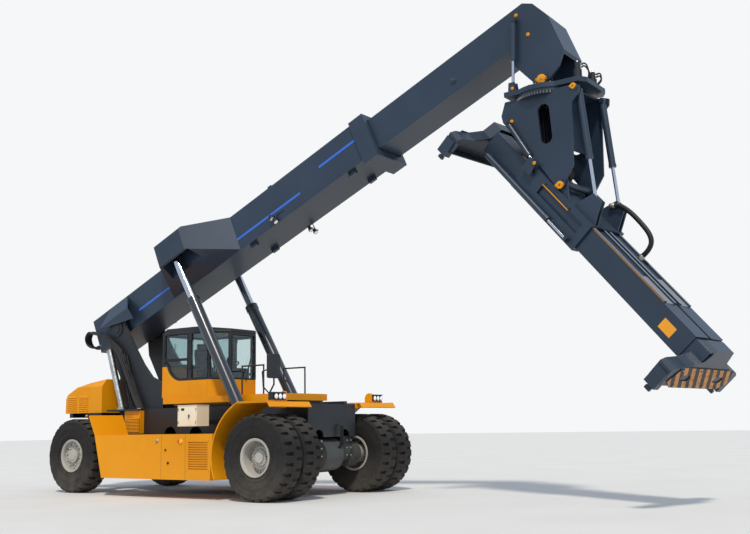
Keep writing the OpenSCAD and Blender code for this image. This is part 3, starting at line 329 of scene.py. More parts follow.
def hard_chrome(name):
    """Chromed and ground rod: bright, with faint lines along the stroke."""
    finish, tree, place = new_finish(name)
    streaks = add_node(tree, "Mapping", {"Scale": (60.0, 60.0, 3.0)}, {"Vector": place}).outputs[0]
    lines = add_node(tree, "TexNoise", {"Scale": 1.0, "Detail": 3.0},
                     {"Vector": streaks}).outputs["Fac"]
    tone = blend_colours(tree, ramp(tree, lines, 0.4, 0.7), "E3E5E8", "C8CBCF")
    rough = ramp(tree, lines, 0.3, 0.8, 0.1, 0.24)
    return shaded(finish, tree, {"Metallic": 1.0}, {"Base Color": tone, "Roughness": rough})


def rolled_metal(name, colour, stained, roughness):
    """Plain metal with stains: stainless tube, zinc plated bolts, worn bare steel."""
    finish, tree, place = new_finish(name)
    stains = ramp(tree, noise(tree, place, 0.3, 5.0, 0.6), 0.4, 0.7)
    tone = blend_colours(tree, stains, colour, stained)
    rough = ramp(tree, noise(tree, place, 0.05, 4.0), 0.3, 0.7, roughness - 0.06, roughness + 0.1)
    bumps = fine_bump(tree, noise(tree, place, 0.012, 3.0), 0.2, 0.2)
    return shaded(finish, tree, {"Metallic": 1.0},
                  {"Base Color": tone, "Roughness": rough, "Normal": bumps})


chrome = hard_chrome("hard_chrome_rod")
stainless = rolled_metal("stainless_exhaust_tube", "D4D3CF", "B3A898", 0.28)
zinc = rolled_metal("zinc_plated_bolt", "A9ABA6", "8E8B80", 0.38)
worn_steel = rolled_metal("worn_bearing_steel", "8A8883", "6E675E", 0.42)
print("metals made")

# %% [markdown]
# Tyre rubber is a dull charcoal that picks up pale dust. Hoses are the same rubber, cleaner
# and finer in grain. Plastic and vinyl are smoother still, and fade in soft clouds.

# %% Rubber, plastic and vinyl


def moulded_rubber(name, colour, dusted, roughness, dust, ground_top, grain_m=0.02):
    """Rubber: dull, with grain and dust."""
    finish, tree, place = new_finish(name)
    marks = ramp(tree, noise(tree, place, 0.12, 6.0, 0.7), 0.35, 0.7)
    tone = blend_colours(tree, maths(tree, "MULTIPLY", marks, 0.7), colour, dusted)
    tone = blend_colours(tree, dust_share(tree, place, dust, ground_top), tone, DUST_COLOUR)
    grain = fine_bump(tree, noise(tree, place, grain_m, 4.0), 0.8, 0.35)
    return shaded(finish, tree, {"Roughness": roughness, "Specular IOR Level": 0.35},
                  {"Base Color": tone, "Normal": grain})


def plain_plastic(name, colour, faded, roughness, grain_m=0.004):
    """Moulded plastic or vinyl with a fine grain."""
    finish, tree, place = new_finish(name)
    tone = blend_colours(tree, noise(tree, place, 0.4, 3.0), colour, faded)
    grain = fine_bump(tree, noise(tree, place, grain_m, 2.0), 0.3, 0.3)
    return shaded(finish, tree, {"Roughness": roughness, "IOR": 1.5},
                  {"Base Color": tone, "Normal": grain})


tyre_rubber = moulded_rubber("tyre_rubber", "1B1A1A", "2B2826", 0.85, 0.22, 0.9)
hose_rubber = moulded_rubber("hose_rubber", "151517", "232325", 0.55, 0.1, 0.3, 0.006)
seal_rubber = moulded_rubber("window_seal_rubber", "101012", "1C1C1E", 0.6, 0.1, 0.3, 0.01)
cab_plastic = plain_plastic("black_abs_plastic", "1A1B1D", "222326", 0.5)
seat_vinyl = plain_plastic("grey_seat_vinyl", "2C2D30", "3A3B3E", 0.6, 0.003)
label_vinyl = plain_plastic("amber_label_vinyl", "F2B21C", "EAA61A", 0.45)
blue_vinyl = plain_plastic("blue_stripe_vinyl", "2A6AD8", "2E66C6", 0.4)
tan_edge = plain_plastic("tan_slide_pad", "9C6F3C", "8A6234", 0.5)
amber_plate = plain_plastic("plain_amber_plate", "F0A21A", "DE9418", 0.45)
slide_enamel = plain_plastic("pale_grey_slide_paint", "7F868E", "747B84", 0.6)
print("rubber and plastics made")

# %% [markdown]
# The cab's windows are laminated glass with a green tint. Lamps have a clear polycarbonate
# lens over a bright reflector. Glass gets its look from transmission, with an IOR of 1.52.

# %% Glass and lenses


def clear_pane(name, tint, roughness, ior):
    """A clear pane, tinted in its body, with a little dust that dulls it."""
    finish, tree, place = new_finish(name)
    film = ramp(tree, noise(tree, place, 0.25, 5.0, 0.6), 0.4, 0.8, roughness, roughness + 0.08)
    return shaded(finish, tree, {"Transmission Weight": 1.0, "IOR": ior,
                                 "Base Color": linear(tint)}, {"Roughness": film})


def glowing_lens(name, colour, strength):
    """A lamp's lens, pale and slightly lit from inside."""
    finish, tree, place = new_finish(name)
    ribs = add_node(tree, "TexWave", {"Scale": 60.0, "Distortion": 0.0},
                    {"Vector": place}).outputs["Fac"]
    bumps = fine_bump(tree, ribs, 0.6, 0.4)
    return shaded(finish, tree, {"Base Color": linear(colour), "Roughness": 0.12, "IOR": 1.58,
                                 "Coat Weight": 0.6, "Emission Color": linear(colour),
                                 "Emission Strength": strength}, {"Normal": bumps})


cab_tint = clear_pane("green_laminated_glass", "C2D6D6", 0.02, 1.52)
mirror_glass = rolled_metal("mirror_glass", "D8DCDE", "CFD3D6", 0.1)
lamp_lens = glowing_lens("clear_lamp_lens", "EEF2F4", 0.12)
amber_lens = glowing_lens("amber_beacon_lens", "F08A12", 0.05)
red_lens = glowing_lens("red_lamp_lens", "B01410", 0.05)
print("glass made")

# %% [markdown]
# The end frames of the spreader are marked with slanting stripes of dull orange and dark
# paint, as a warning. The stripes are worked out from distance along a slanting direction on
# the object, so that they are the same width wherever they fall, and the paint is scuffed.

# %% Hazard stripes
STRIPE_M = 0.17      # one orange and one dark stripe, measured across
STRIPE_ACROSS = Vector((0.52, 0.6, 0.6)).normalized()


def warning_stripes(name, orange, dark):
    """Slanting stripes of two paints, with the primer showing through in scuffs."""
    finish, tree, place = new_finish(name)
    along = add_node(tree, "VectorMath", {"operation": "DOT_PRODUCT", 1: STRIPE_ACROSS},
                     {0: place}).outputs["Value"]
    cycle = maths(tree, "FRACT", maths(tree, "DIVIDE", along, STRIPE_M), 0.0)
    stripe = ramp(tree, cycle, 0.48, 0.52)
    scuffs = ramp(tree, noise(tree, place, 0.05, 6.0, 0.7), 0.52, 0.62)
    orange_paint = blend_colours(tree, scuffs, orange, "6A4A30")
    dark_paint = blend_colours(tree, scuffs, dark, "4A3A2C")
    tone = blend_colours(tree, stripe, orange_paint, dark_paint)
    return shaded(finish, tree, {"Roughness": 0.6, "IOR": 1.5}, {"Base Color": tone})


striped_paint = warning_stripes("orange_and_dark_stripes", "C98A45", "2B2724")
print("stripes", STRIPE_M, "m")

# %% [markdown]
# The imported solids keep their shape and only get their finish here. A table says which
# finish each node takes, so that a glance shows how the machine is painted.

# %% Finish of each solid
FINISH_OF = {
    barrel_enamel: ["lift_barrels"],
    orange_enamel: ["side_tanks", "fenders", "side_panels", "engine_hood", "cab_platform",
                    "cab_base"],
    boom_enamel: ["outer_boom", "inner_boom", "boom_head", "rotator", "hanger", "carriage",
                  "spreader_frame", "upper_arm", "lower_arm", "tilt_barrels", "trim_barrels",
                  "damper_barrels"],
    chassis_enamel: ["main_frame", "pedestal", "counterweight", "headlamps", "mirrors",
                     "knuckle_right", "knuckle_left", "steer_axle", "slew_motors", "cab_frame",
                     "door_left", "tow_jaw", "porch_rails"],
    axle_enamel: ["drive_axle"],
    engine_enamel: ["engine"],
    cream_enamel: ["electrical_box"],
    rim_enamel: ["drive_rims_right", "drive_rims_left", "steer_rim_right", "steer_rim_left"],
    tyre_rubber: ["drive_tyres_right", "drive_tyres_left", "steer_tyre_right", "steer_tyre_left"],
    hose_rubber: ["hose_pack"],
    chrome: ["lift_rods", "damper_rods", "tilt_rods", "trim_rods"],
    stainless: ["exhaust"],
    cab_tint: ["cab_glass"],
    cab_plastic: ["cab_interior"],
    seat_vinyl: ["driver_seat"],
}
painted = set()
for finish, names in FINISH_OF.items():
    for name in names:
        mesh = nodes[name].data
        mesh.materials.clear()
        mesh.materials.append(finish)
        painted.add(name)
print("painted", len(painted), "of", len(nodes), "solids; bare:", sorted(set(nodes) - painted))

# %% [markdown]
# The solids give the main shapes. The small work on them, such as bolts, hoses, lamps and
# seals, is built here as meshes. Three ways of making cover nearly all of it: a skin over a
# row of rings, a form turned round an axis, and a plate cut from an outline. One small class
# keeps the mesh of a piece and the finish of each part, and hands it to the body it rides on.

# %% A piece in the making


class Piece:
    """One piece: its mesh, the finishes on it, and the body that it rides on."""

    def __init__(self, name, body):
        self.name, self.body = name, body
        self.mesh = bmesh.new()
        self.finishes = []

    def skin(self, rings, finish, caps=True, loop=False):
        """Join rings of points into a skin, and close its two ends."""
        if finish not in self.finishes:
            self.finishes.append(finish)
        slot = self.finishes.index(finish)
        made = [[self.mesh.verts.new(point) for point in ring] for ring in rings]
        faces = []
        for one, two in zip(made, made[1:] + made[:1] if loop else made[1:]):
            for i in range(len(one)):
                j = (i + 1) % len(one)
                faces.append(self.mesh.faces.new((one[i], one[j], two[j], two[i])))
        if caps and not loop:
            faces += [self.mesh.faces.new(made[0][::-1]), self.mesh.faces.new(made[-1])]
        for face in faces:
            face.material_index = slot

    def done(self, crease=math.radians(35)):
        """Hand the mesh over: smooth faces, creases at the corners, and a body to ride on."""
        bmesh.ops.recalc_face_normals(self.mesh, faces=self.mesh.faces)
        for face in self.mesh.faces:
            face.smooth = True
        for edge in self.mesh.edges:
            if len(edge.link_faces) == 2 and edge.calc_face_angle() > crease:
                edge.smooth = False
        data = bpy.data.meshes.new(self.name)
        self.mesh.to_mesh(data)
        self.mesh.free()
        for finish in self.finishes:
            data.materials.append(finish)
        made = bpy.data.objects.new(self.name, data)
        bpy.context.scene.collection.objects.link(made)
        if self.body:
            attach(made, self.body)
        print(self.name, len(data.polygons), "faces on", self.body)
        return made


AHEAD, LEFT, UP = (Vector(way) for way in ((1, 0, 0), (0, 1, 0), (0, 0, 1)))
print("finishes ready", len(bpy.data.materials))

# %% [markdown]
# A turned form is a row of circles round an axis, each with its radius and its height. A tube
# is a row of circles along a path, and each circle keeps the turn of the one before it, so
# that a hose doesn't twist. A path through a few points is rounded first, as a bent hose is.

# %% Turned forms and tubes


def across(direction):
    """Two directions at right angles to the given one."""
    direction = Vector(direction).normalized()
    side = direction.cross(UP if abs(direction.z) < 0.9 else AHEAD).normalized()
    return side, direction.cross(side)


def turns_of(count, shift=0.0):
    """The angles of so many places, evenly round a circle."""
    return [math.tau * (i + shift) / count for i in range(count)]


def circle(centre, side, up, radius, count, shift=0.0):
    """Points round a centre, in the plane of two directions."""
    return [centre + radius * (math.cos(t) * side + math.sin(t) * up)
            for t in turns_of(count, shift)]


def turned(piece, place, direction, profile, finish, count=24):
    """Turn a profile of (radius, height) round the direction, from the place."""
    place, direction = Vector(place), Vector(direction).normalized()
    side, up = across(direction)
    piece.skin([circle(place + height * direction, side, up, radius, count)
                for radius, height in profile], finish)


def rounded(points, steps=6):
    """A smooth path through the points, as a hose takes it."""
    points = [Vector(p) for p in points]
    ends = [2 * points[0] - points[1]] + points + [2 * points[-1] - points[-2]]
    path = []
    for a, b, c, d in zip(ends, ends[1:], ends[2:], ends[3:]):
        for i in range(steps):
            t = i / steps
            path.append(0.5 * (2 * b + (c - a) * t + (2 * a - 5 * b + 4 * c - d) * t ** 2
                               + (3 * b - a - 3 * c + d) * t ** 3))
    return path + [points[-1]]


def tube(piece, path, radius, finish, count=10, loop=False):
    """A round tube along a path."""
    path = [Vector(p) for p in path]
    side, _ = across(path[1] - path[0])
    rings = []
    for i, point in enumerate(path):
        before = path[i - 1] if i or loop else point
        after = path[(i + 1) % len(path)] if i + 1 < len(path) or loop else point
        heading = (after - before).normalized()
        side = (side - side.dot(heading) * heading).normalized()
        rings.append(circle(point, side, heading.cross(side), radius, count))
    piece.skin(rings, finish, loop=loop)


def hose_ends(piece, line, profile, count=12):
    """A plated fitting turned on either end of a hose's line."""
    for end, following in ((line[0], line[1]), (line[-1], line[-2])):
        turned(piece, end, Vector(following) - Vector(end), profile, zinc, count)


print("a bend of three points is rounded to", len(rounded([(0, 0, 0), (1, 0, 0), (1, 1, 0)])))

# %% [markdown]
# Sheet metal is a flat outline with thickness. Its edges are never knife sharp, so the
# outline is drawn in a little on both faces, and the light finds a thin line round it. A
# pierced plate is filled between its outline and its holes.

# %% Plates


def drawn_in(outline, by):
    """The outline moved inwards by a width."""
    count = len(outline)
    area = sum(outline[i][0] * outline[(i + 1) % count][1]
               - outline[(i + 1) % count][0] * outline[i][1] for i in range(count))
    way = 1 if area > 0 else -1
    inner = []
    for i in range(count):
        before, here, after = (Vector(outline[(i + k) % count]).to_2d() for k in (-1, 0, 1))
        one, two = (here - before).normalized(), (after - here).normalized()
        left = Vector((-one.y - two.y, one.x + two.x)) * way
        inner.append(here + left * by / max(0.4, 1 + one.dot(two)))
    return inner


def plate(piece, outline, place, right, up, thick, finish, soften=0.002):
    """A plate with soft edges: the outline lies on the place, and the thickness grows off it."""
    place, right, up = Vector(place), Vector(right), Vector(up)
    out = right.cross(up)
    small = drawn_in(outline, soften)
    rows = [(small, 0), (outline, soften), (outline, thick - soften), (small, thick)]
    piece.skin([[place + p[0] * right + p[1] * up + h * out for p in row] for row, h in rows],
               finish)


def corners_of(low_x, high_x, low_y, high_y):
    """The four corners of a rectangle."""
    return [(low_x, low_y), (high_x, low_y), (high_x, high_y), (low_x, high_y)]


def box_outline(width, height, corner=0.0, steps=4):
    """A rectangle round its middle, with rounded corners."""
    if not corner:
        return corners_of(-width / 2, width / 2, -height / 2, height / 2)
    points = []
    for x, y, start in ((1, -1, -90), (1, 1, 0), (-1, 1, 90), (-1, -1, 180)):
        for i in range(steps + 1):
            turn = math.radians(start + 90 * i / steps)
            points.append((x * (width / 2 - corner) + corner * math.cos(turn),
                           y * (height / 2 - corner) + corner * math.sin(turn)))
    return points


def in_order(corners):
    """A face's corners, begun at the least one and run towards its lesser neighbour."""
    first = corners.index(min(corners))
    corners = corners[first:] + corners[:first]
    return corners if corners[1] < corners[-1] else corners[:1] + corners[:0:-1]


def pierced_plate(piece, outline, holes, place, right, up, thick, finish):
    """A plate with holes, filled between its outline and the holes' outlines."""
    place, right, up = Vector(place), Vector(right), Vector(up)
    sheet = bmesh.new()
    edges = []
    for loop in [outline] + holes:
        corners = [sheet.verts.new(place + p[0] * right + p[1] * up) for p in loop]
        edges += [sheet.edges.new((corners[i - 1], corners[i])) for i in range(len(corners))]
    bmesh.ops.triangle_fill(sheet, edges=edges, use_beauty=True)
    grown = bmesh.ops.extrude_face_region(sheet, geom=list(sheet.faces))["geom"]
    lifted = [item for item in grown if isinstance(item, bmesh.types.BMVert)]
    bmesh.ops.translate(sheet, verts=lifted, vec=right.cross(up) * thick)
    if finish not in piece.finishes:
        piece.finishes.append(finish)
    # the fill gives its faces in any order, so they are sorted, and each run is the same
    made = {spot: piece.mesh.verts.new(spot) for spot in sorted({tuple(v.co) for v in sheet.verts})}
    for corners in sorted(in_order([tuple(v.co) for v in face.verts]) for face in sheet.faces):
        face = piece.mesh.faces.new([made[corner] for corner in corners])
        face.material_index = piece.finishes.index(finish)
    sheet.free()


def bolts(piece, places, direction, across_flats, finish, washer=True):
    """Hexagon heads, each on its washer unless that is left out."""
    radius = across_flats / math.sqrt(3)
    for place in places:
        if washer:
            turned(piece, place, direction, [(radius * 1.15, 0), (radius * 1.15, radius * 0.25)],
                   finish, 12)
        turned(piece, Vector(place) + Vector(direction).normalized() * radius * 0.2, direction,
               [(radius, 0), (radius, radius), (radius * 0.8, radius * 1.2)], finish, 6)


small_square = drawn_in(box_outline(0.1, 0.1), 0.01)
print("a 100 mm square drawn in by 10 mm is", [tuple(round(v, 3) for v in p) for p in small_square])

# %% [markdown]
# The boom, the hanger and the spreader each stand at their own angle, so their details are
# placed in their own frames: along the piece, to its side, and up from its middle line.
# A short name stands for a place or a direction on each of them. Where a detail has to sit
# on a solid, a line is cast to find the face that it meets.

# %% Frames of the slanting pieces
BOOM_RISE = math.radians(23.4)
SLEW_TURN = math.radians(-6.4)
TILT_TURN = math.radians(48.7)
SLEW_MIDDLE = 5.42
TILT_PIN = (0.44, 0, 5.525)        # from the slewing axis, at the ground
BEAM_MIDDLE = (0.94, 0, -1.03)    # of the spreader, from the tilt pin

boom_frame = Matrix.Translation(pin_of["luff"]) @ Matrix.Rotation(-BOOM_RISE, 4, "Y")
slew_frame = Matrix.Translation((SLEW_MIDDLE, 0, 0)) @ Matrix.Rotation(SLEW_TURN, 4, "Z")
tilt_frame = slew_frame @ Matrix.Translation(TILT_PIN) @ Matrix.Rotation(TILT_TURN, 4, "Y")
spreader_frame = tilt_frame @ Matrix.Translation(BEAM_MIDDLE)


def place_in(frame_of, *point):
    """A point of a slanting piece's frame, in the machine's frame."""
    return frame_of @ Vector(point)


def way_in(frame_of, *direction):
    """A direction of a slanting piece's frame, in the machine's frame."""
    return frame_of.to_3x3() @ Vector(direction)


def landing(node, start, way):
    """Where a line from `start` along `way` first meets a solid, or None."""
    shape = nodes[node]
    inverse = shape.matrix_world.inverted()
    hit, point, _, _ = shape.ray_cast(inverse @ Vector(start),
                                      (inverse.to_3x3() @ Vector(way)).normalized())
    return shape.matrix_world @ point if hit else None


on_boom, boom_way = partial(place_in, boom_frame), partial(way_in, boom_frame)
on_hanger, at = partial(place_in, slew_frame), partial(place_in, spreader_frame)
print("the boom's head is at", tuple(round(v, 2) for v in on_boom(11.76, 0, -0.95)))

# %% [markdown]
# A heavy wheel shows rings on the tyre's side wall, a lock ring that holds the tyre on its
# rim, a valve, and a circle of nuts. The lock ring could be painted on, but its edge catches
# the light, so it is turned. All of it spins with the wheel.

# %% Rings, nuts and valves of the wheels
AXLE_HEIGHT = 0.825
DRIVE_OUTER = 1.84
STEER_MIDDLE = 1.39
STEER_X = -6.03
SIDE_NAMES = {-1: "right", 1: "left"}


def ring(piece, place, direction, radius, height, width, rise, finish, count=64):
    """A low raised ring round an axis."""
    profile = [(radius - width / 2, height - rise), (radius - width / 3, height + rise),
               (radius + width / 3, height + rise), (radius + width / 2, height - rise)]
    place, direction = Vector(place), Vector(direction).normalized()
    side, up = across(direction)
    piece.skin([circle(place + h * direction, side, up, r, count) for r, h in profile], finish,
               loop=True)


# radius and height of each ring on the side wall
WALL_RINGS = ((0.455, 0.2315), (0.59, 0.2495), (0.604, 0.2495), (0.705, 0.245))


def dress_wheel(name, body, x, middle, side, disc, hub_radius, nut_radius, nut_count):
    """Side wall rings, lock ring, valve and nuts of one outer wheel."""
    out = Vector((0, side, 0))
    middle_place = Vector((x, side * middle, AXLE_HEIGHT))
    wall = Piece(name + "_tyre_rings", body)
    for radius, height in WALL_RINGS:
        ring(wall, middle_place, out, radius, height, 0.007, 0.0025, tyre_rubber)
    wall.done()
    metal = Piece(name + "_lock_ring_and_nuts", body)
    ring(metal, middle_place, out, 0.358, 0.2215, 0.02, 0.004, rim_enamel, 72)
    nuts = circle(middle_place + out * disc, AHEAD, UP, nut_radius, nut_count, 0.5)
    bolts(metal, nuts, out, 0.03, zinc)
    for place in nuts:
        turned(metal, place + out * 0.018, out, [(0.009, 0), (0.009, 0.014), (0.006, 0.017)], zinc,
               8)
    ring(metal, middle_place, out, hub_radius, disc + 0.001, 0.012, 0.002, worn_steel, 48)
    valve = middle_place + Vector((0.3, 0, 0.02))
    tube(metal, [valve + out * 0.1, valve + out * 0.17,
                 valve + out * 0.205 + Vector((0.008, 0, 0))], 0.006, zinc, 8)
    turned(metal, valve + out * 0.2 + Vector((0.008, 0, 0)), out,
           [(0.009, 0), (0.009, 0.018), (0.006, 0.022)], seal_rubber, 10)
    metal.done()


for side, side_name in SIDE_NAMES.items():
    dress_wheel("drive_wheel_" + side_name, "drive_wheels_" + side_name, 0.0, DRIVE_OUTER, side,
                disc=0.062, hub_radius=0.118, nut_radius=0.16, nut_count=20)
    dress_wheel("steer_wheel_" + side_name, "steer_wheel_" + side_name, STEER_X, STEER_MIDDLE, side,
                disc=0.126, hub_radius=0.155, nut_radius=0.215, nut_count=12)

# %% [markdown]
# The steer wheel's hub ends in a domed grease cap inside its ring of nuts.

# %% Grease caps of the steer hubs
for side, side_name in SIDE_NAMES.items():
    cap = Piece("grease_cap_" + side_name, "steer_wheel_" + side_name)
    turned(cap, (STEER_X, side * (STEER_MIDDLE + 0.124), AXLE_HEIGHT), (0, side, 0),
           [(0.15, 0), (0.15, 0.008), (0.118, 0.016), (0.112, 0.06), (0.098, 0.072), (0.03, 0.078)],
           rim_enamel, 40)
    bolts(cap, circle(Vector((STEER_X, side * (STEER_MIDDLE + 0.134), AXLE_HEIGHT)), AHEAD, UP,
                      0.133, 6), (0, side, 0), 0.013, zinc, washer=False)
    cap.done()

# %% [markdown]
# Each front fender is folded sheet with a rolled lip, which shows as a thin light line round
# the wheel. A tube along its edge does that. The lamps stand on the fenders: a dark box with
# three round lamps, each a bright bowl under a clear domed glass, beside an orange cheek.

# %% Fender lips
FENDER_EDGE = 2.07
FENDER_RADIUS = 1.125
LIP_END = 1.86         # above this the lip is a straight run
fender_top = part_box("fenders")[1][2]
for side, side_name in SIDE_NAMES.items():
    lip = Piece("fender_lip_" + side_name, "chassis")
    arc = [(FENDER_RADIUS * math.cos(t), side * FENDER_EDGE,
            AXLE_HEIGHT + FENDER_RADIUS * math.sin(t))
           for t in (math.radians(201 - 4 * i) for i in range(20))
           if AXLE_HEIGHT + FENDER_RADIUS * math.sin(t) < LIP_END]
    tube(lip, arc + [(-0.45, side * FENDER_EDGE, fender_top - 0.01),
                     (0.325, side * FENDER_EDGE, fender_top - 0.01),
                     (0.392, side * FENDER_EDGE, fender_top - 0.112)], 0.009, orange_enamel, 8)
    lip.done()

# %% Headlamps
LAMP_FACE = 0.23
LAMP_ROW = (1.497, 1.615, 1.733)
LAMP_HEIGHT = 1.98
bright_bowl = hard_chrome("bright_lamp_bowl")
for side, side_name in SIDE_NAMES.items():
    lamps = Piece("headlamps_" + side_name, "chassis")
    for y in LAMP_ROW:
        place = Vector((LAMP_FACE + 0.024, side * y, LAMP_HEIGHT))
        turned(lamps, place, AHEAD, [(0.0495, -0.014), (0.0535, -0.008), (0.0535, 0.006),
                                     (0.046, 0.009)], bright_bowl, 32)
        turned(lamps, place, AHEAD, [(0.046, 0.008), (0.04, 0.015), (0.026, 0.02), (0.008, 0.022)],
               lamp_lens, 32)
    # cover over the box, with a drip edge
    plate(lamps, corners_of(0.095, 0.262, -0.2, 0.178), (0, side * 1.622, 2.053), AHEAD, LEFT,
          0.008, chassis_enamel)
    lamps.done()
    cheek = Piece("headlamp_cheek_" + side_name, "chassis")
    outline = [(0.058, 1.888), (0.058, 1.992), (0.099, 2.064), (0.15, 2.089), (0.229, 2.079),
               (0.229, 1.888)]
    plate(cheek, outline, (0, 1.4325 if side > 0 else -1.3885, 0), AHEAD, UP, 0.044, orange_enamel)
    plate(cheek, corners_of(0.058, 0.234, -0.185, 0.185), (0, side * 1.6175, 1.8905), AHEAD, LEFT,
          0.017, orange_enamel)
    cheek.done()

# %% [markdown]
# The tank beside the wheels is one big folded box. Panels meet in thin seams, and the
# service side has a filler cap, knobs and a drain. Signs on it are left bare.

# %% Seams, caps and knobs of the side tank
TANK_FACE = 2.0
SEAM_FOOT, SEAM_TOP = 0.4, 1.262
for side, side_name in SIDE_NAMES.items():
    fittings = Piece("tank_fittings_" + side_name, "chassis")
    face = side * TANK_FACE
    out = (0, side, 0)
    for x in (-2.63, -1.93):
        plate(fittings, box_outline(0.006, SEAM_TOP - SEAM_FOOT),
              (x, face, (SEAM_FOOT + SEAM_TOP) / 2), (-side, 0, 0), UP, 0.0015, chassis_enamel,
              0.0004)
    for x, z, radius, finish in ((-2.76, 1.15, 0.035, zinc), (-2.05, 1.14, 0.042, label_vinyl),
                                 (-2.5, 0.97, 0.018, seal_rubber),
                                 (-2.42, 0.71, 0.022, seal_rubber), (-2.12, 1.145, 0.02, red_lens)):
        turned(fittings, (x, face, z), out, [(radius * 1.1, 0), (radius * 1.1, 0.004),
                                             (radius, 0.008), (radius, 0.018),
                                             (radius * 0.85, 0.024)], finish, 24)
    bolts(fittings, [(x, face, z) for x in (-1.88, -1.27) for z in (0.56, 0.85, 1.14)], out, 0.013,
          zinc)
    fittings.done()

# %% [markdown]
# The cream box holds the switches. Its door has a handle, hinges and a blank plate.

# %% Handle and hinges of the switch box
switch_box = Piece("switch_box_fittings", "chassis")
BOX_FACE = -1.45
KNOB_X = -2.405
turned(switch_box, (KNOB_X, BOX_FACE, 1.655), (0, -1, 0),
       [(0.022, 0), (0.022, 0.004), (0.014, 0.008), (0.014, 0.02)], zinc, 20)
plate(switch_box, box_outline(0.022, 0.09, 0.009), (KNOB_X, BOX_FACE - 0.02, 1.64), AHEAD, UP,
      0.008, cab_plastic)
for z in (1.52, 1.79):
    for x in (-2.728, -2.207):
        turned(switch_box, (x, BOX_FACE - 0.006, z - 0.03), UP,
               [(0.007, 0), (0.009, 0.003), (0.009, 0.057), (0.007, 0.06)], zinc, 12)
plate(switch_box, box_outline(0.095, 0.05, 0.004), (-2.6, BOX_FACE - 0.001, 1.79), AHEAD, UP, 0.002,
      seal_rubber, 0.0005)
plate(switch_box, box_outline(0.59, 0.37, 0.01), (-2.465, -1.275, 1.868), AHEAD, LEFT, 0.01,
      cream_enamel)
switch_box.done()

# %% [markdown]
# The panes of the cab sit in black rubber, which rounds every corner of the openings. Each
# seal is one tube run round its opening. The side panes follow the hollow curve of the sill,
# so their seals take the same arc.

# %% Window seals of the cab
CAB_SIDE = 0.72
CAB_FRONT = -2.24
CAB_REAR = -4.05
SLANT_X = -2.58       # where the slanting panes leave the sides
PANE_FOOT, PANE_TOP = 2.485, 3.47
CURVE_MIDDLE = Vector((-3.45, 2.912))
CURVE_RADIUS = 0.427


def seal_loop(piece, corners, radius=0.009):
    """A rubber seal along a closed row of corners."""
    corners = [Vector(c) for c in corners]
    path = []
    for before, here, after in zip(corners[-1:] + corners[:-1], corners, corners[1:] + corners[:1]):
        reach = min(0.03, (before - here).length / 3, (after - here).length / 3)
        one = here + (before - here).normalized() * reach
        two = here + (after - here).normalized() * reach
        path += [one, 0.25 * one + 0.5 * here + 0.25 * two, two]
    tube(piece, path, radius, seal_rubber, 8, loop=True)


def sill_arc(low_turn, high_turn, count=8):
    """Points of the sill's hollow curve, in X and Z."""
    turns = [math.radians(low_turn + (high_turn - low_turn) * i / count) for i in range(count + 1)]
    return [(CURVE_MIDDLE.x + CURVE_RADIUS * math.cos(t),
             CURVE_MIDDLE.y + CURVE_RADIUS * math.sin(t)) for t in turns]


seals = Piece("window_seals", "cab")
right_panes = [
    [(-3.98, 2.93), (-3.98, PANE_TOP), (-3.25, PANE_TOP), (-3.25, 2.93)],
    [(-3.97, 2.89)] + sill_arc(196, 270) + [(-3.25, PANE_FOOT), (-3.25, 2.89)],
    [(-3.12, PANE_FOOT), (-3.12, PANE_TOP), (-2.62, PANE_TOP), (-2.62, PANE_FOOT)],
]
for pane in right_panes:
    seal_loop(seals, [(x, -CAB_SIDE - 0.002, z) for x, z in pane])
left_pane = [(-3.98, PANE_TOP)] + sill_arc(180, 270) + [(-3.28, PANE_FOOT), (-3.28, PANE_TOP)]
seal_loop(seals, [(x, CAB_SIDE + 0.002, z) for x, z in left_pane])
seal_loop(seals, [(CAB_FRONT + 0.002, y, z) for y, z in corners_of(-0.36, 0.36, 2.47, 3.42)])
seal_loop(seals, [(CAB_REAR - 0.002, y, z) for y, z in corners_of(-0.56, 0.56, 2.85, 3.46)])
slant = (Vector((CAB_FRONT, -0.4)) - Vector((SLANT_X, -CAB_SIDE))).normalized()
for side in (-1, 1):
    foot = Vector((SLANT_X, side * CAB_SIDE, 2.47))
    along = Vector((slant.x, -side * slant.y, 0))
    seal_loop(seals, [foot + along * a + UP * h for a, h in corners_of(0.04, 0.425, 0, 0.99)])
seals.done()

# %% [markdown]
# Two wipers clear the glass, one on the windscreen and one on the slanting pane beside it.
# Each is an arm, flat and tapered, with a rubber blade on a curved back. A rail along the
# sliding window, a gutter round the roof and grab rails finish the cab's outside.

# %% Wipers, rails and gutter


def wiper(name, pivot, tip, out):
    """An arm from its pivot to the blade's middle, and the blade across it."""
    pivot, tip, out = Vector(pivot), Vector(tip), Vector(out).normalized()
    made = Piece(name, "cab")
    reach = tip - pivot
    side = reach.cross(out).normalized()
    lift = out * 0.03
    turned(made, pivot, out, [(0.02, 0), (0.02, 0.024), (0.012, 0.034)], cab_plastic, 16)
    made.skin([[place + side * w + out * h for w, h in corners_of(-wide, wide, -0.004, 0.004)]
               for place, wide in ((pivot + lift, 0.014), (pivot + reach * 0.5 + lift, 0.01),
                                   (tip + lift, 0.006))], cab_plastic)
    blade = [tip + reach.normalized() * step + out * (0.016 - 0.05 * step * step)
             for step in (-0.27, -0.2, -0.1, 0, 0.1, 0.2, 0.27)]
    tube(made, blade, 0.007, seal_rubber, 6)
    made.done()


wiper("wiper_front", (CAB_FRONT, 0.05, 2.455), (CAB_FRONT, 0.22, 2.93), AHEAD)
slant_out = Vector((slant.y, -slant.x, 0))
slant_foot = Vector((SLANT_X, -CAB_SIDE, 0))
slant_way = Vector((slant.x, slant.y, 0))
wiper("wiper_side", slant_foot + slant_way * 0.34 + UP * 2.455,
      slant_foot + slant_way * 0.16 + UP * 2.9, slant_out)

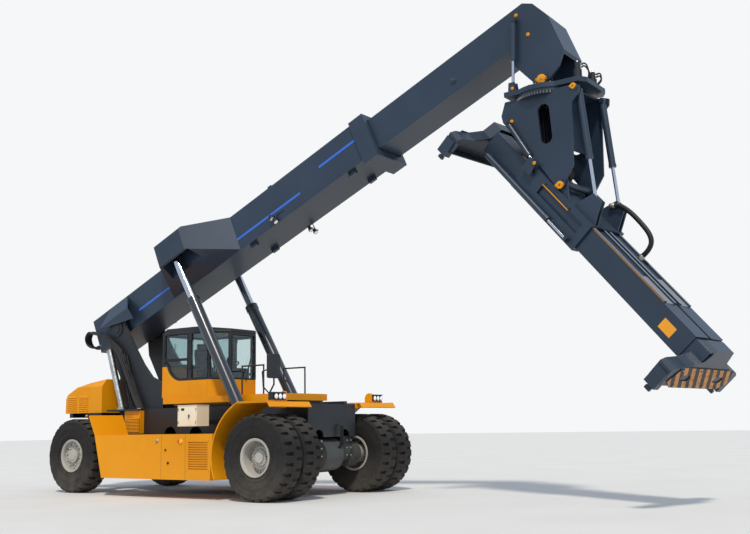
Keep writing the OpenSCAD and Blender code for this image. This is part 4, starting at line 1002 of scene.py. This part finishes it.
trim = Piece("cab_trim", "cab")
ROOF_EDGE = 3.5
tube(trim, [(CAB_REAR - 0.006, -CAB_SIDE - 0.006, ROOF_EDGE),
            (-2.575, -CAB_SIDE - 0.006, ROOF_EDGE), (CAB_FRONT + 0.008, -0.4, ROOF_EDGE),
            (CAB_FRONT + 0.008, 0.4, ROOF_EDGE), (-2.575, CAB_SIDE + 0.006, ROOF_EDGE),
            (CAB_REAR - 0.006, CAB_SIDE + 0.006, ROOF_EDGE)], 0.012, chassis_enamel, 8, loop=True)
plate(trim, box_outline(0.012, 0.15, 0.004), (-3.64, -CAB_SIDE - 0.004, 3.2), AHEAD, UP, 0.012,
      cab_plastic)


def grab_rail(x, inner, outer, low, high, bend, radius):
    """An upright rail of the cab's side, bent in to the wall at both ends."""
    tube(trim, rounded([(x, inner, low), (x, outer, low + bend), (x, outer, high - bend),
                        (x, inner, high)]), radius, chassis_enamel, 8)


grab_rail(-3.185, -CAB_SIDE, -CAB_SIDE - 0.045, 2.7, 3.3, 0.03, 0.011)
grab_rail(-3.9, CAB_SIDE + 0.004, CAB_SIDE + 0.055, 2.6, 3.2, 0.04, 0.012)
trim.done()

handle = Piece("door_handle", "door_left")
plate(handle, box_outline(0.15, 0.06, 0.012), (-2.735, CAB_SIDE, 2.6), (-1, 0, 0), UP, 0.01,
      cab_plastic)
tube(handle, rounded([(-2.79, CAB_SIDE + 0.008, 2.6), (-2.78, CAB_SIDE + 0.038, 2.6),
                      (-2.7, CAB_SIDE + 0.038, 2.6), (-2.69, CAB_SIDE + 0.008, 2.6)]), 0.008,
     cab_plastic, 8)
seal_loop(handle, [(x, CAB_SIDE + 0.002, z) for x, z in corners_of(-3.14, -2.66, 2.48, 3.42)])
handle.done()

# %% [markdown]
# The driver's seat is foam under vinyl. A cushion is crowned: its middle swells, its sides
# pull in to a piped seam, and two sewn channels run down it. It is drawn as a grid whose
# height follows those facts, and then smoothed once, which is quick and repeats exactly.

# %% The seat's cushions
CHANNEL_AT, CHANNEL_WIDE = 0.42, 0.07    # in half widths of the cushion
CHANNEL_DEEP = 0.012


def boxed(value, power):
    """A cosine or sine, pushed towards its ends, which turns a circle into a rounded box."""
    return math.copysign(abs(value) ** power, value)


def cushion(piece, place, right, up, width, length, thick, swell, finish, cells=14):
    """A crowned pad: a grid over its face, pulled in at the sides and sewn in two channels."""
    place, right, up = Vector(place), Vector(right), Vector(up)
    out = right.cross(up)
    rings = []
    for row in range(cells + 1):
        v = -1 + 2 * row / cells
        across_row = []
        for angle in turns_of(2 * cells):
            squared, rise = boxed(math.cos(angle), 0.45), boxed(math.sin(angle), 0.55)
            end = (1 - abs(v) ** 6) ** 0.5
            channel = sum(math.exp(-((squared - c) / CHANNEL_WIDE) ** 2)
                          for c in (-CHANNEL_AT, CHANNEL_AT))
            crown = swell * (1 - squared ** 2) * (1 - v * v) - CHANNEL_DEEP * channel * end
            height = thick / 2 * rise * max(end, 0.12) + (crown if rise > 0 else 0)
            pull = 1 - 0.1 * abs(v) ** 4
            across_row.append(place + right * squared * width / 2 * pull + up * v * length / 2
                              + out * height)
        rings.append(across_row)
    piece.skin(rings, finish)


seat = Piece("driver_seat_cushions", "cab")
cushion(seat, (-3.24, 0, 2.59), LEFT, (-1, 0, 0), 0.5, 0.5, 0.11, 0.02, seat_vinyl)
lean = math.radians(8)
back_up = Vector((-math.sin(lean), 0, math.cos(lean)))
back_foot = Vector((-3.455, 0, 2.64))
cushion(seat, back_foot + back_up * 0.28, LEFT, back_up, 0.48, 0.54, 0.1, 0.022, seat_vinyl)
cushion(seat, back_foot + back_up * 0.605, LEFT, back_up, 0.27, 0.13, 0.08, 0.008, seat_vinyl, 10)
seat_piece = seat.done(math.radians(60))
smooth = seat_piece.modifiers.new("smooth", "SUBSURF")
smooth.levels = smooth.render_levels = 1
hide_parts("driver_seat")

seat_parts = Piece("seat_arms_and_levers", "cab")
for side in (-1, 1):
    y = side * 0.29
    plate(seat_parts, box_outline(0.33, 0.055, 0.022), (-3.23, y - 0.032, 2.8), AHEAD, UP, -0.064,
          cab_plastic)
    tube(seat_parts, [(-3.36, y, 2.62), (-3.37, y, 2.78)], 0.016, cab_plastic, 10)
    turned(seat_parts, (-3.1, y, 2.822), (0.12, 0, 1),
           [(0.022, 0), (0.01, 0.012), (0.008, 0.075), (0.02, 0.088), (0.022, 0.12),
            (0.012, 0.136)], cab_plastic, 16)
for y in (-0.03, 0.03):
    tube(seat_parts, [(-3.535, y, 3.15), (-3.55, y, 3.23)], 0.007, zinc, 8)
# screen on the console, tipped towards the driver
plate(seat_parts, box_outline(0.23, 0.15, 0.012), (-2.44, -0.18, 2.85), (0, -1, 0),
      (0.26, 0, 0.966), 0.03, cab_plastic)
tube(seat_parts, [(-2.425, -0.18, 2.69), (-2.425, -0.18, 2.79)], 0.014, cab_plastic, 8)
seat_parts.done()

# %% [markdown]
# In front of the cab is a porch with a chequered floor, and a mirror stands beside it on
# bent tubes. Raised studs in two directions are what makes such a floor, so they are made.

# %% Porch floor and mirror
PORCH_TOP = 2.08
porch = Piece("porch_floor_studs", "cab")
plate(porch, box_outline(1.29, 1.3), (-1.15, 0, PORCH_TOP), AHEAD, LEFT, 0.003, chassis_enamel,
      0.001)
STUD_PITCH = 0.08
STUD_LONG, STUD_WIDE, STUD_HIGH = 0.028, 0.006, 0.003    # half length, half width, height
for row in range(15):
    for column in range(16):
        lean_way = math.radians(45 if (row + column) % 2 else -45)
        centre = Vector((-1.735 + STUD_PITCH * row, -0.6 + STUD_PITCH * column,
                         PORCH_TOP + STUD_HIGH))
        along = Vector((math.cos(lean_way), math.sin(lean_way), 0)) * STUD_LONG
        wide = Vector((-math.sin(lean_way), math.cos(lean_way), 0)) * STUD_WIDE
        top = centre + UP * STUD_HIGH
        porch.skin([[centre - along, centre - wide, centre + along, centre + wide],
                    [top - along * 0.8, top - wide * 0.5, top + along * 0.8, top + wide * 0.5]],
                   chassis_enamel)
porch.done()

MIRROR_MIDDLE = Vector((-0.48, -1.025, 2.615))
mirror = Piece("mirror_glass_and_foot", "chassis")
plate(mirror, box_outline(0.29, 0.44, 0.04), MIRROR_MIDDLE, (0, -1, 0), UP, 0.006, mirror_glass)
plate(mirror, box_outline(0.305, 0.455, 0.045), MIRROR_MIDDLE + AHEAD * 0.002, (0, -1, 0), UP,
      0.003, seal_rubber)
# clamp on the tubes, and the foot that bolts to the fender
plate(mirror, corners_of(-0.62, -0.38, -1.07, -0.95), (0, 0, fender_top), AHEAD, LEFT, 0.012,
      chassis_enamel)
turned(mirror, (-0.56, -1.01, fender_top + 0.006), UP,
       [(0.036, 0), (0.034, 0.01), (0.022, 0.04), (0.019, 0.06)], chassis_enamel, 16)
bolts(mirror, [(-0.42, y, fender_top + 0.012) for y in (-1.045, -0.975)], UP, 0.017, zinc)
mirror.done()

# %% [markdown]
# The boom's colour bands are vinyl, laid along its sides. Bands that follow the boom are
# thin sheets in the boom's own frame, so they ride with it when it rises.

# %% Bands on the outer boom
BOOM_SIDE = 0.46


def boom_plate(piece, size, along, side, height, thick, finish, soften=0.002):
    """A plate on the boom's side; the size is its width, height and corner."""
    plate(piece, box_outline(*size), on_boom(along, side * BOOM_SIDE, height),
          boom_way(-side, 0, 0), boom_way(0, 0, 1), thick, finish, soften)


bands = Piece("boom_bands", "outer_boom")
for side in (-1, 1):
    for start, end, height in ((0.7, 1.83, 0.16), (3.9, 6.09, 0.1), (6.75, 7.77, 0.33)):
        boom_plate(bands, (end - start, 0.048, 0.004), (start + end) / 2, side, height, 0.0015,
                   blue_vinyl, 0)
bands.done()

# %% [markdown]
# The collar at the boom's mouth carries the wear pads. Each pad hangs from a column of
# bolts, and two ribs stiffen either side. Small lugs stand on the boom's top, and a bolted
# boss on either side of the inner boom.

# %% Collar, lugs and bosses of the boom
collar = Piece("collar_fittings", "outer_boom")
for side in (-1, 1):
    out = boom_way(0, side, 0)
    for along in (7.88, 8.11):
        boom_plate(collar, (0.022, 0.64), along, side, 0.255, 0.03, boom_enamel)
    for along in (7.945, 8.045):
        bolts(collar,
              [on_boom(along, side * BOOM_SIDE, up) for up in (0.02, 0.12, 0.22, 0.32, 0.42, 0.52)],
              out, 0.03, zinc)
top_out = boom_way(0, 0, 1)
bolts(collar, [on_boom(7.9, aside, 0.68) for aside in (-0.32, -0.16, 0, 0.16, 0.32)], top_out, 0.03,
      zinc)
for along in (2.3, 5.3):
    for aside in (-0.3, 0.3):
        plate(collar, [(-0.1, 0), (0.1, 0), (0.05, 0.13), (-0.05, 0.13)],
              on_boom(along, aside + 0.01, 0.678), boom_way(1, 0, 0), top_out, 0.024, boom_enamel)
collar.done()

BOSS_AT, BOSS_UP = 10.22, 0.107
inner_fittings = Piece("inner_boom_fittings", "inner_boom")
for side in (-1, 1):
    out = boom_way(0, side, 0)
    turned(inner_fittings, on_boom(BOSS_AT, side * 0.384, BOSS_UP), out,
           [(0.06, 0), (0.06, 0.016), (0.034, 0.02), (0.034, 0.04), (0.016, 0.046)], boom_enamel,
           20)
    bolts(inner_fittings, circle(on_boom(BOSS_AT, side * 0.4, BOSS_UP), boom_way(1, 0, 0),
                                 boom_way(0, 0, 1), 0.047, 6), out, 0.012, zinc, washer=False)
inner_fittings.done()

# %% [markdown]
# Two pairs of work lamps light the load. Each lamp is a small round housing in a yoke, with
# cooling ribs behind and a domed lens in front; both pairs look down and forward.

# %% Work lamps on the boom


def work_lamp(piece, place, look, side_way, radius=0.052):
    """A round lamp looking along `look`, held in a yoke."""
    place, look, side_way = Vector(place), Vector(look).normalized(), Vector(side_way).normalized()
    turned(piece, place - look * 0.045, look, [(0.02, 0), (radius * 0.75, 0.006), (radius, 0.03),
                                               (radius * 1.04, 0.07), (radius * 0.98, 0.078),
                                               (radius * 0.94, 0.07)], cab_plastic, 24)
    turned(piece, place + look * 0.023, look, [(radius * 0.94, 0), (radius * 0.9, 0.006),
                                               (radius * 0.5, 0.012)], lamp_lens, 24)
    for step in (0, 1, 2):
        rib = radius * (0.72 - 0.1 * step)
        turned(piece, place - look * (0.052 + 0.014 * step), look, [(rib, 0), (rib, 0.006)],
               cab_plastic, 20)
    up = side_way.cross(look)
    foot, bend = place - look * 0.005, place + up * 0.075 - look * 0.03
    aside = side_way * radius
    tube(piece, [foot + aside * 1.1, bend + aside * 1.15, bend - aside * 1.15, foot - aside * 1.1],
         0.006, zinc, 6)
    turned(piece, place + up * 0.07 - look * 0.03, up, [(0.014, 0), (0.014, 0.03)], zinc, 10)


lamps = Piece("boom_work_lamps", "outer_boom")
down_way = boom_way(0.3, 0, -0.95)
for side, spots in ((-1, ((5.24, -0.03), (5.31, -0.15))), (1, ((5.37, -0.2), (5.47, -0.315)))):
    boom_plate(lamps, (0.4, 0.05, 0.01), 5.36, side, 0.02, 0.014, boom_enamel)
    for along, up in spots:
        spot = on_boom(along, side * (BOOM_SIDE + 0.085), up)
        work_lamp(lamps, spot, down_way, boom_way(1, 0, 0.3))
        tube(lamps, [spot + UP * 0.055, on_boom(along + 0.02, side * (BOOM_SIDE + 0.01), 0.01)],
             0.01, boom_enamel, 8)
lamps.done()

# %% [markdown]
# Pins carry the cylinders. Each ends in a round cap over a flat keeper that two bolts hold,
# so the pin cannot turn. The same small fitting is used at every pin, in its own size.

# %% Pin caps


def pin_cap(piece, place, direction, radius, finish, keeper):
    """A domed cap on a pin's end, with its keeper plate and two bolts."""
    place, out = Vector(place), Vector(direction).normalized()
    side, up = across(direction)
    turned(piece, place, out, [(radius, 0), (radius, 0.01), (radius * 0.88, 0.018),
                               (radius * 0.3, 0.022)], finish, 28)
    turned(piece, place + out * 0.02, out, [(radius * 0.18, 0), (radius * 0.15, 0.012),
                                            (radius * 0.06, 0.016)], zinc, 12)
    if keeper:
        plate(piece, box_outline(radius * 2.5, radius * 0.62, radius * 0.12), place + out * 0.012,
              side, up, 0.01, finish)
        bolts(piece, [place + side * radius * k * 1.08 + out * 0.022 for k in (-1, 1)], out,
              radius * 0.22, zinc)


# %% Where the pins are
KEEPER_FROM = 0.05      # thinner pins have no keeper
# name: place in X and Z, radius, body
PIN_CAPS = {
    "head": ((5.465, 7.518), 0.09, "inner_boom"),
    "damper_top": ((4.982, 8.876), 0.034, "inner_boom"),
    "head_plug": ((5.211, 8.447), 0.036, "inner_boom"),
    "tilt": ((5.808, 5.469), 0.07, "carriage"),
    "tilt_top": ((6.146, 7.192), 0.055, "hanger"),
    "trim_top": ((4.86, 6.833), 0.032, "hanger"),
    "trim_low": ((5.357, 5.931), 0.032, "carriage"),
    "damper_low": ((4.929, 7.43), 0.03, "rotator"),
}
PINNED = ("hanger", "boom", "inner", "carriage", "tilt", "trim", "damper", "rotator")


def outer_face(x, z, side):
    """How far out to the side the pinned solids reach at this X and Z, or None."""
    points = [landing(name, (x, side * 3.0, z), (0, -side, 0)) for name in nodes
              if name.split("_")[0] in PINNED]
    return max((point.y * side for point in points if point is not None), default=None)


for name, ((x, z), radius, body) in PIN_CAPS.items():
    caps = Piece("pin_caps_" + name, body)
    for side in (-1, 1):
        reach = outer_face(x, z, side)
        if reach:
            pin_cap(caps, (x, side * reach, z), (0, side, 0), radius, orange_enamel,
                    radius > KEEPER_FROM)
    caps.done()

# %% [markdown]
# Hoses feed the boom. They leave the chassis behind the cab, rise along the pedestal and
# bend over in a wide loop to the boom's rear, so that the boom can rise without pulling
# them. Five lie side by side. The loop crosses the joint, so it rides on neither body.

# %% Hoses from the chassis to the boom
HOSE_RADIUS = 0.022
HOSE_START, HOSE_PITCH = -0.79, 0.045     # the first hose's Y, and the step to the next
HOSE_LINE = [(-4.74, 1.78), (-4.8, 1.88), (-4.98, 2.18), (-5.16, 2.53), (-5.35, 2.89), (-5.54, 3.2),
             (-5.72, 3.375), (-6.02, 3.56), (-6.28, 3.64), (-6.52, 3.7), (-6.76, 3.74),
             (-6.93, 3.62), (-6.91, 3.45), (-6.74, 3.37), (-6.5, 3.43)]
for number in range(5):
    hoses = Piece("boom_hose_%d" % (number + 1), None)
    line = []
    for step, (x, z) in enumerate(HOSE_LINE):
        inward = max(0, step - 8) / 6
        line.append((x - 0.01 * number * inward, HOSE_START + HOSE_PITCH * number + 0.36 * inward,
                     z + 0.014 * math.sin(1.3 * number + step)))
    tube(hoses, rounded(line, 5), HOSE_RADIUS, hose_rubber, 10)
    hose_ends(hoses, line, [(0.016, -0.03), (0.03, -0.028), (0.03, 0.0), (0.026, 0.004),
                            (0.026, 0.08), (0.023, 0.086)])
    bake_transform(hoses.done())

# %% [markdown]
# The spreader carries the load from above. The carriage slides on pale wear strips, the end
# beams wear striped plates that warn people off, and a plain amber plate marks each side.
# Everything here is laid out along, across and above the spreader's own beam.

# %% Wear strips, striped plates and amber plates
beam = way_in(spreader_frame, 1, 0, 0)
cross_way = way_in(spreader_frame, 0, 1, 0)
above = way_in(spreader_frame, 0, 0, 1)

STRIP_LONG = 3.84
strips = Piece("spreader_wear_strips", "spreader")
for side in (-1, 1):
    for end in (-1, 1):
        plate(strips, box_outline(0.66, 0.27), at(end * 1.6, side * 0.27, 0.8505), beam, cross_way,
              0.004, slide_enamel, 0)
    plate(strips, box_outline(STRIP_LONG, 0.024), at(0, side * 0.4805, 0.866), beam * -side, above,
          0.003, tan_edge, 0)
    for across_at in (0.095, 0.445):
        plate(strips, box_outline(STRIP_LONG, 0.056), at(0, side * across_at, 0.8805), beam,
              cross_way, 0.003, slide_enamel, 0)
    plate(strips, box_outline(0.27, 0.19, 0.006), at(2.26, side * 0.5, 0.61), beam * -side, above,
          0.002, amber_plate, 0)
strips.done()

STRIPE_OUTLINE = [(-1.08, 0.2), (-0.93, 0.51), (0.93, 0.51), (1.08, 0.2), (0.85, 0.08),
                  (-0.85, 0.08)]


def stadium(middle, half_long, half_high, count=10):
    """The outline of an opening with round ends."""
    turns = [math.pi * (k / count - 0.5) for k in range(count + 1)]
    right_end = [(middle[0] + half_long - half_high + half_high * math.cos(t),
                  middle[1] + half_high * math.sin(t)) for t in turns]
    left_end = [(middle[0] - half_long + half_high - half_high * math.cos(t),
                 middle[1] - half_high * math.sin(t)) for t in turns]
    return right_end + left_end


def end_cover(name, body, end):
    """The striped skin on the outer face of an end beam's plate."""
    made = Piece(name, body)
    outline = [(x * 0.992, 0.295 + (z - 0.295) * 0.975) for x, z in STRIPE_OUTLINE]
    holes = [stadium((middle, 0.29), 0.153, 0.063) for middle in (-0.6, 0.6)]
    pierced_plate(made, outline, holes, at(end * 3.0552, 0, 0), cross_way * end, above, 0.0018,
                  striped_paint)
    spots = [(way * y, z) for y, z in ((0.9, 0.45), (0.78, 0.13), (0.25, 0.45), (0.25, 0.13))
             for way in (-1, 1)]
    bolts(made, [at(end * 3.057, y, z) for y, z in spots], beam * end, 0.024, zinc)
    made.done()


end_cover("end_cover_lower", "lower_arm", 1)
end_cover("end_cover_upper", "spreader", -1)

# %% [markdown]
# A bundle of hoses loops from the carriage to the spreader, inside a ribbed sleeve. The
# ribs are what the eye finds in it, so the sleeve swells and narrows along its whole line.

# %% Hose bundle on the carriage
sleeve = Piece("carriage_hose_loop", None)
SLEEVE_LINE = [(-0.3, 1.18), (-0.206, 1.27), (0.02, 1.32), (0.305, 1.32), (0.56, 1.29),
               (0.706, 1.215), (0.765, 1.08), (0.759, 0.9)]
centre_line = rounded([at(a, 0.3, u) for a, u in SLEEVE_LINE], 22)
sleeve_rings = []
for number, place in enumerate(centre_line):
    ahead = centre_line[min(number + 1, len(centre_line) - 1)] - centre_line[max(number - 1, 0)]
    rise = ahead.normalized().cross(cross_way)
    sleeve_rings.append(circle(place, cross_way, rise, 0.042 + (0.004 if number % 2 else 0), 14))
sleeve.skin(sleeve_rings, hose_rubber)
hose_ends(sleeve, centre_line, [(0.03, -0.06), (0.052, -0.05), (0.052, 0.045), (0.046, 0.05)], 18)
hose_loop = sleeve.done(math.radians(60))
tuple(at(0.05, 0.3, 1.32))
tuple(at(0.72, 0.3, 1.15))
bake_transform(hose_loop)

carriage_bits = Piece("carriage_fittings", "carriage")
for across_at in (-0.42, -0.36, 0.36, 0.42):
    for along in (-1.15, -1.05, -0.95, -0.85, -0.15, -0.05):
        place = landing("carriage", at(along, across_at, 1.6), -above)
        if place is not None and (at(along, across_at, 0.915) - place).length < 0.012:
            bolts(carriage_bits, [place], above, 0.034, zinc)
carriage_bits.done()

# a rod over the carriage's window, held by a bent foot at either end
ROD_PLACE = (-0.6, 0.8)     # across and above
rod = Piece("carriage_yellow_rod", "carriage")
for end in (-1.13, -0.45):
    foot = landing("carriage", at(end, -1.2, 0.835), cross_way)
    tube(rod, [foot, foot - cross_way * 0.04, at(end, *ROD_PLACE)], 0.01, boom_enamel, 8)
tube(rod, [at(-1.15, *ROD_PLACE), at(-0.43, *ROD_PLACE)], 0.009, orange_enamel, 8)
rod.done()

# %% [markdown]
# The rotator turns on a slewing ring. Bolts hold the ring in a circle, and each of the two
# motors has a flange, a brake housing and two hoses that bend down to the hanger's top.

# %% Slewing ring and motor fittings
RING_RADIUS = 0.64
RING_HEIGHT = 0.11
RING_BOLTS = 0.595        # radius of their circle
MOTOR_AHEAD, MOTOR_ASIDE = 0.7, 0.33
HANGER_TOP = 7.29
ROTATOR_TOP = HANGER_TOP + 0.09
ring_bolts = Piece("slewing_ring_bolts", "rotator")
for spot in circle(Vector((SLEW_MIDDLE, 0, ROTATOR_TOP)), AHEAD, LEFT, RING_BOLTS, 28):
    under = landing("rotator", spot + UP * 0.05, -UP)
    if under is not None and abs(under.z - ROTATOR_TOP) < 0.004:
        bolts(ring_bolts, [spot], UP, 0.036, zinc)
for side in (-1, 1):
    motor = Vector((SLEW_MIDDLE + MOTOR_AHEAD, side * MOTOR_ASIDE, ROTATOR_TOP))
    bolts(ring_bolts, circle(motor + UP * 0.04, AHEAD, LEFT, 0.092, 6), UP, 0.016, zinc)
    for height in (0.235, 0.285):
        turned(ring_bolts, motor + Vector((0.048, 0, height)), AHEAD,
               [(0.016, 0), (0.016, 0.03), (0.02, 0.03), (0.02, 0.055)], zinc, 12)
        sweep = 0.115 + (0.285 - height)
        bend = [(0.1, 0, height), (0.13, 0, height + 0.004), (0.17, -side * 0.02, height - 0.04),
                (0.185, -side * sweep * 0.5, 0.12), (0.14, -side * sweep, 0.03),
                (0.11, -side * (sweep + 0.03), 0.002)]
        tube(ring_bolts, rounded([motor + Vector(point) for point in bend], 7), 0.014, hose_rubber,
             10)
    turned(ring_bolts, motor + UP * 0.33, UP, [(0.03, 0), (0.03, 0.012), (0.016, 0.016),
                                               (0.012, 0.03)], zinc, 6)
ring_bolts.done()

teeth = Piece("slewing_ring_teeth", "hanger")
TOOTH_COUNT = 72
for turn in turns_of(TOOTH_COUNT):
    radial = Vector((math.cos(turn), math.sin(turn), 0))
    side_way = Vector((-math.sin(turn), math.cos(turn), 0))
    foot = Vector((SLEW_MIDDLE, 0, HANGER_TOP - RING_HEIGHT)) + radial * (RING_RADIUS - 0.0005)
    teeth.skin([[foot + UP * z + radial * out + side_way * aside
                 for out, aside in ((0, -0.016), (0, 0.016), (0.018, 0.008), (0.018, -0.008))]
                for z in (0.004, RING_HEIGHT / 2 - 0.004)], worn_steel)
teeth.done()

# %% [markdown]
# Between the two hanger plates hang the hoses that feed the spreader. They show through the
# oval openings. Each leaves a fitting under the ring, sags a little and meets the carriage
# close to the tilt pin, where it bends least when the spreader tilts.

# %% Hoses in the hanger, and the bright rod of the side shift
for number in range(4):
    aside = -0.18 + 0.11 * number
    above_it = landing("hanger", on_hanger(-0.06, aside, 6.7), UP)
    below_it = landing("carriage", at(-1.08 - 0.05 * number, aside, 1.5), -above)
    start = above_it if above_it is not None else on_hanger(-0.06, aside, 7.15)
    hanging = Piece("hanger_hose_%d" % (number + 1), None)
    middle = [on_hanger(-0.07 - 0.02 * number, aside, 6.9), on_hanger(-0.06, aside * 1.1, 6.5),
              on_hanger(0.02 + 0.02 * number, aside, 6.15)]
    line = [start] + middle + [below_it + above * 0.22, below_it]
    tube(hanging, rounded(line, 6), 0.019, hose_rubber, 10)
    hose_ends(hanging, line, [(0.026, -0.002), (0.026, 0.03), (0.023, 0.034), (0.023, 0.08),
                              (0.02, 0.084)])
    print("hanger hose from", tuple(round(v, 2) for v in line[0]), "to",
          tuple(round(v, 2) for v in line[-1]))
    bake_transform(hanging.done())

SHIFT_ROD_PLACE = (-0.615, 0.43)
sleeve_of_rod = Piece("side_shift_rod_chrome", "carriage")
turned(sleeve_of_rod, at(-0.6, *SHIFT_ROD_PLACE), beam, [(0.0261, 0), (0.0261, 0.468)], chrome, 28)
sleeve_of_rod.done()

# %% [markdown]
# The chassis keeps its small parts: an amber side lamp, hose runs on the front wall, the
# bolts that hold the axle, and a louvred panel on either side behind the cab.

# %% Small parts on the chassis
FRONT_WALL = 0.29
LAMP_SPOT = Vector((-5.9, -1.296, 1.716))
small = Piece("chassis_small_parts", "chassis")
turned(small, LAMP_SPOT, (0, -1, 0), [(0.034, 0), (0.034, 0.014), (0.03, 0.018)], cab_plastic, 20)
turned(small, LAMP_SPOT - LEFT * 0.016, (0, -1, 0), [(0.028, 0), (0.027, 0.02), (0.016, 0.032)],
       amber_lens, 20)
for y in (-0.55, -0.42, 0.42, 0.55):
    bolts(small, [(FRONT_WALL + 0.001, y, z) for z in (0.8, 0.95, 1.1)], AHEAD, 0.03, zinc)
for shift in (0, 0.035, 0.07):
    tube(small, rounded([(0.29, 0.18 + shift, 1.42), (0.33, 0.175 + shift, 1.4),
                         (0.345, 0.16 + shift, 1.2), (0.33, 0.13 + shift, 1.0),
                         (0.292, 0.11 + shift, 0.94)], 6), 0.011, hose_rubber, 8)
    for y, z in ((0.18, 1.422), (0.11, 0.938)):
        turned(small, (FRONT_WALL - 0.002, y + shift, z), AHEAD, [(0.014, 0), (0.014, 0.018)], zinc,
               10)
for side in (-1, 1):
    face = side * 0.9005
    # a black sheet behind the slats: painted shade of the openings between them
    plate(small, box_outline(0.5, 0.33), (-4.82, face, 1.48), (-side, 0, 0), UP, 0.003, cab_plastic,
          0)
    for row in range(10):
        small.skin([[Vector((x, face + side * out, 1.335 + 0.032 * row + rise))
                     for out, rise in ((0, 0), (0.016, -0.004), (0.016, 0.004), (0, 0.02))]
                    for x in (-5.06, -4.58)], orange_enamel)
small.done()

# %% [markdown]
# The hood behind the cab opens for service. It has rows of louvres and two latches in each
# side, and each louvre is a pressed lip that stands out over its slot. A pressed shoulder
# closes the corner between the hood's top and its side.

# %% Louvres and latches of the hood
HOOD_REAR, HOOD_FRONT, HOOD_HALF = -7.12, -5.8, 0.98
LOUVRE_FOOT, LOUVRE_PITCH = 1.8, 0.045
LIP_PROFILE = ((0, 0), (0.016, -0.004), (0.016, 0.004), (-0.002, 0.026))    # out and up


def on_hood(x, side, z):
    """Where the hood's side stands at this X and Z."""
    return landing("engine_hood", (x, side * 3, z), (0, -side, 0))


hood = Piece("hood_louvres", "chassis")
for side in (-1, 1):
    # the pressed shoulder between the hood's top and its side
    shoulder = [Vector((HOOD_REAR + 0.42, side * 0.979, 2.4)),
                Vector((HOOD_REAR + 0.82, side * 0.8955, 2.5)),
                Vector((HOOD_FRONT, side * 0.8368, 2.57)),
                Vector((HOOD_FRONT, side * HOOD_HALF, 2.399))]
    inward = Vector((0, -side * 0.766, -0.643)) * 0.006
    hood.skin([[corner + inward for corner in shoulder], shoulder], orange_enamel)
for side in (-1, 1):
    for start, end in ((-7.05, -6.72), (-6.62, -6.29)):
        for row in range(9):
            ends = [on_hood(x, side, LOUVRE_FOOT + LOUVRE_PITCH * row) for x in (start, end)]
            if None not in ends:
                hood.skin([[spot + Vector((0, side * out, rise)) for out, rise in LIP_PROFILE]
                           for spot in ends], orange_enamel)
    for x in (-7.0, -6.2):
        spot = on_hood(x, side, 1.74)
        if spot is not None:
            plate(hood, box_outline(0.07, 0.034, 0.008), spot, (-side, 0, 0), UP, 0.008,
                  cab_plastic)
hood.done()
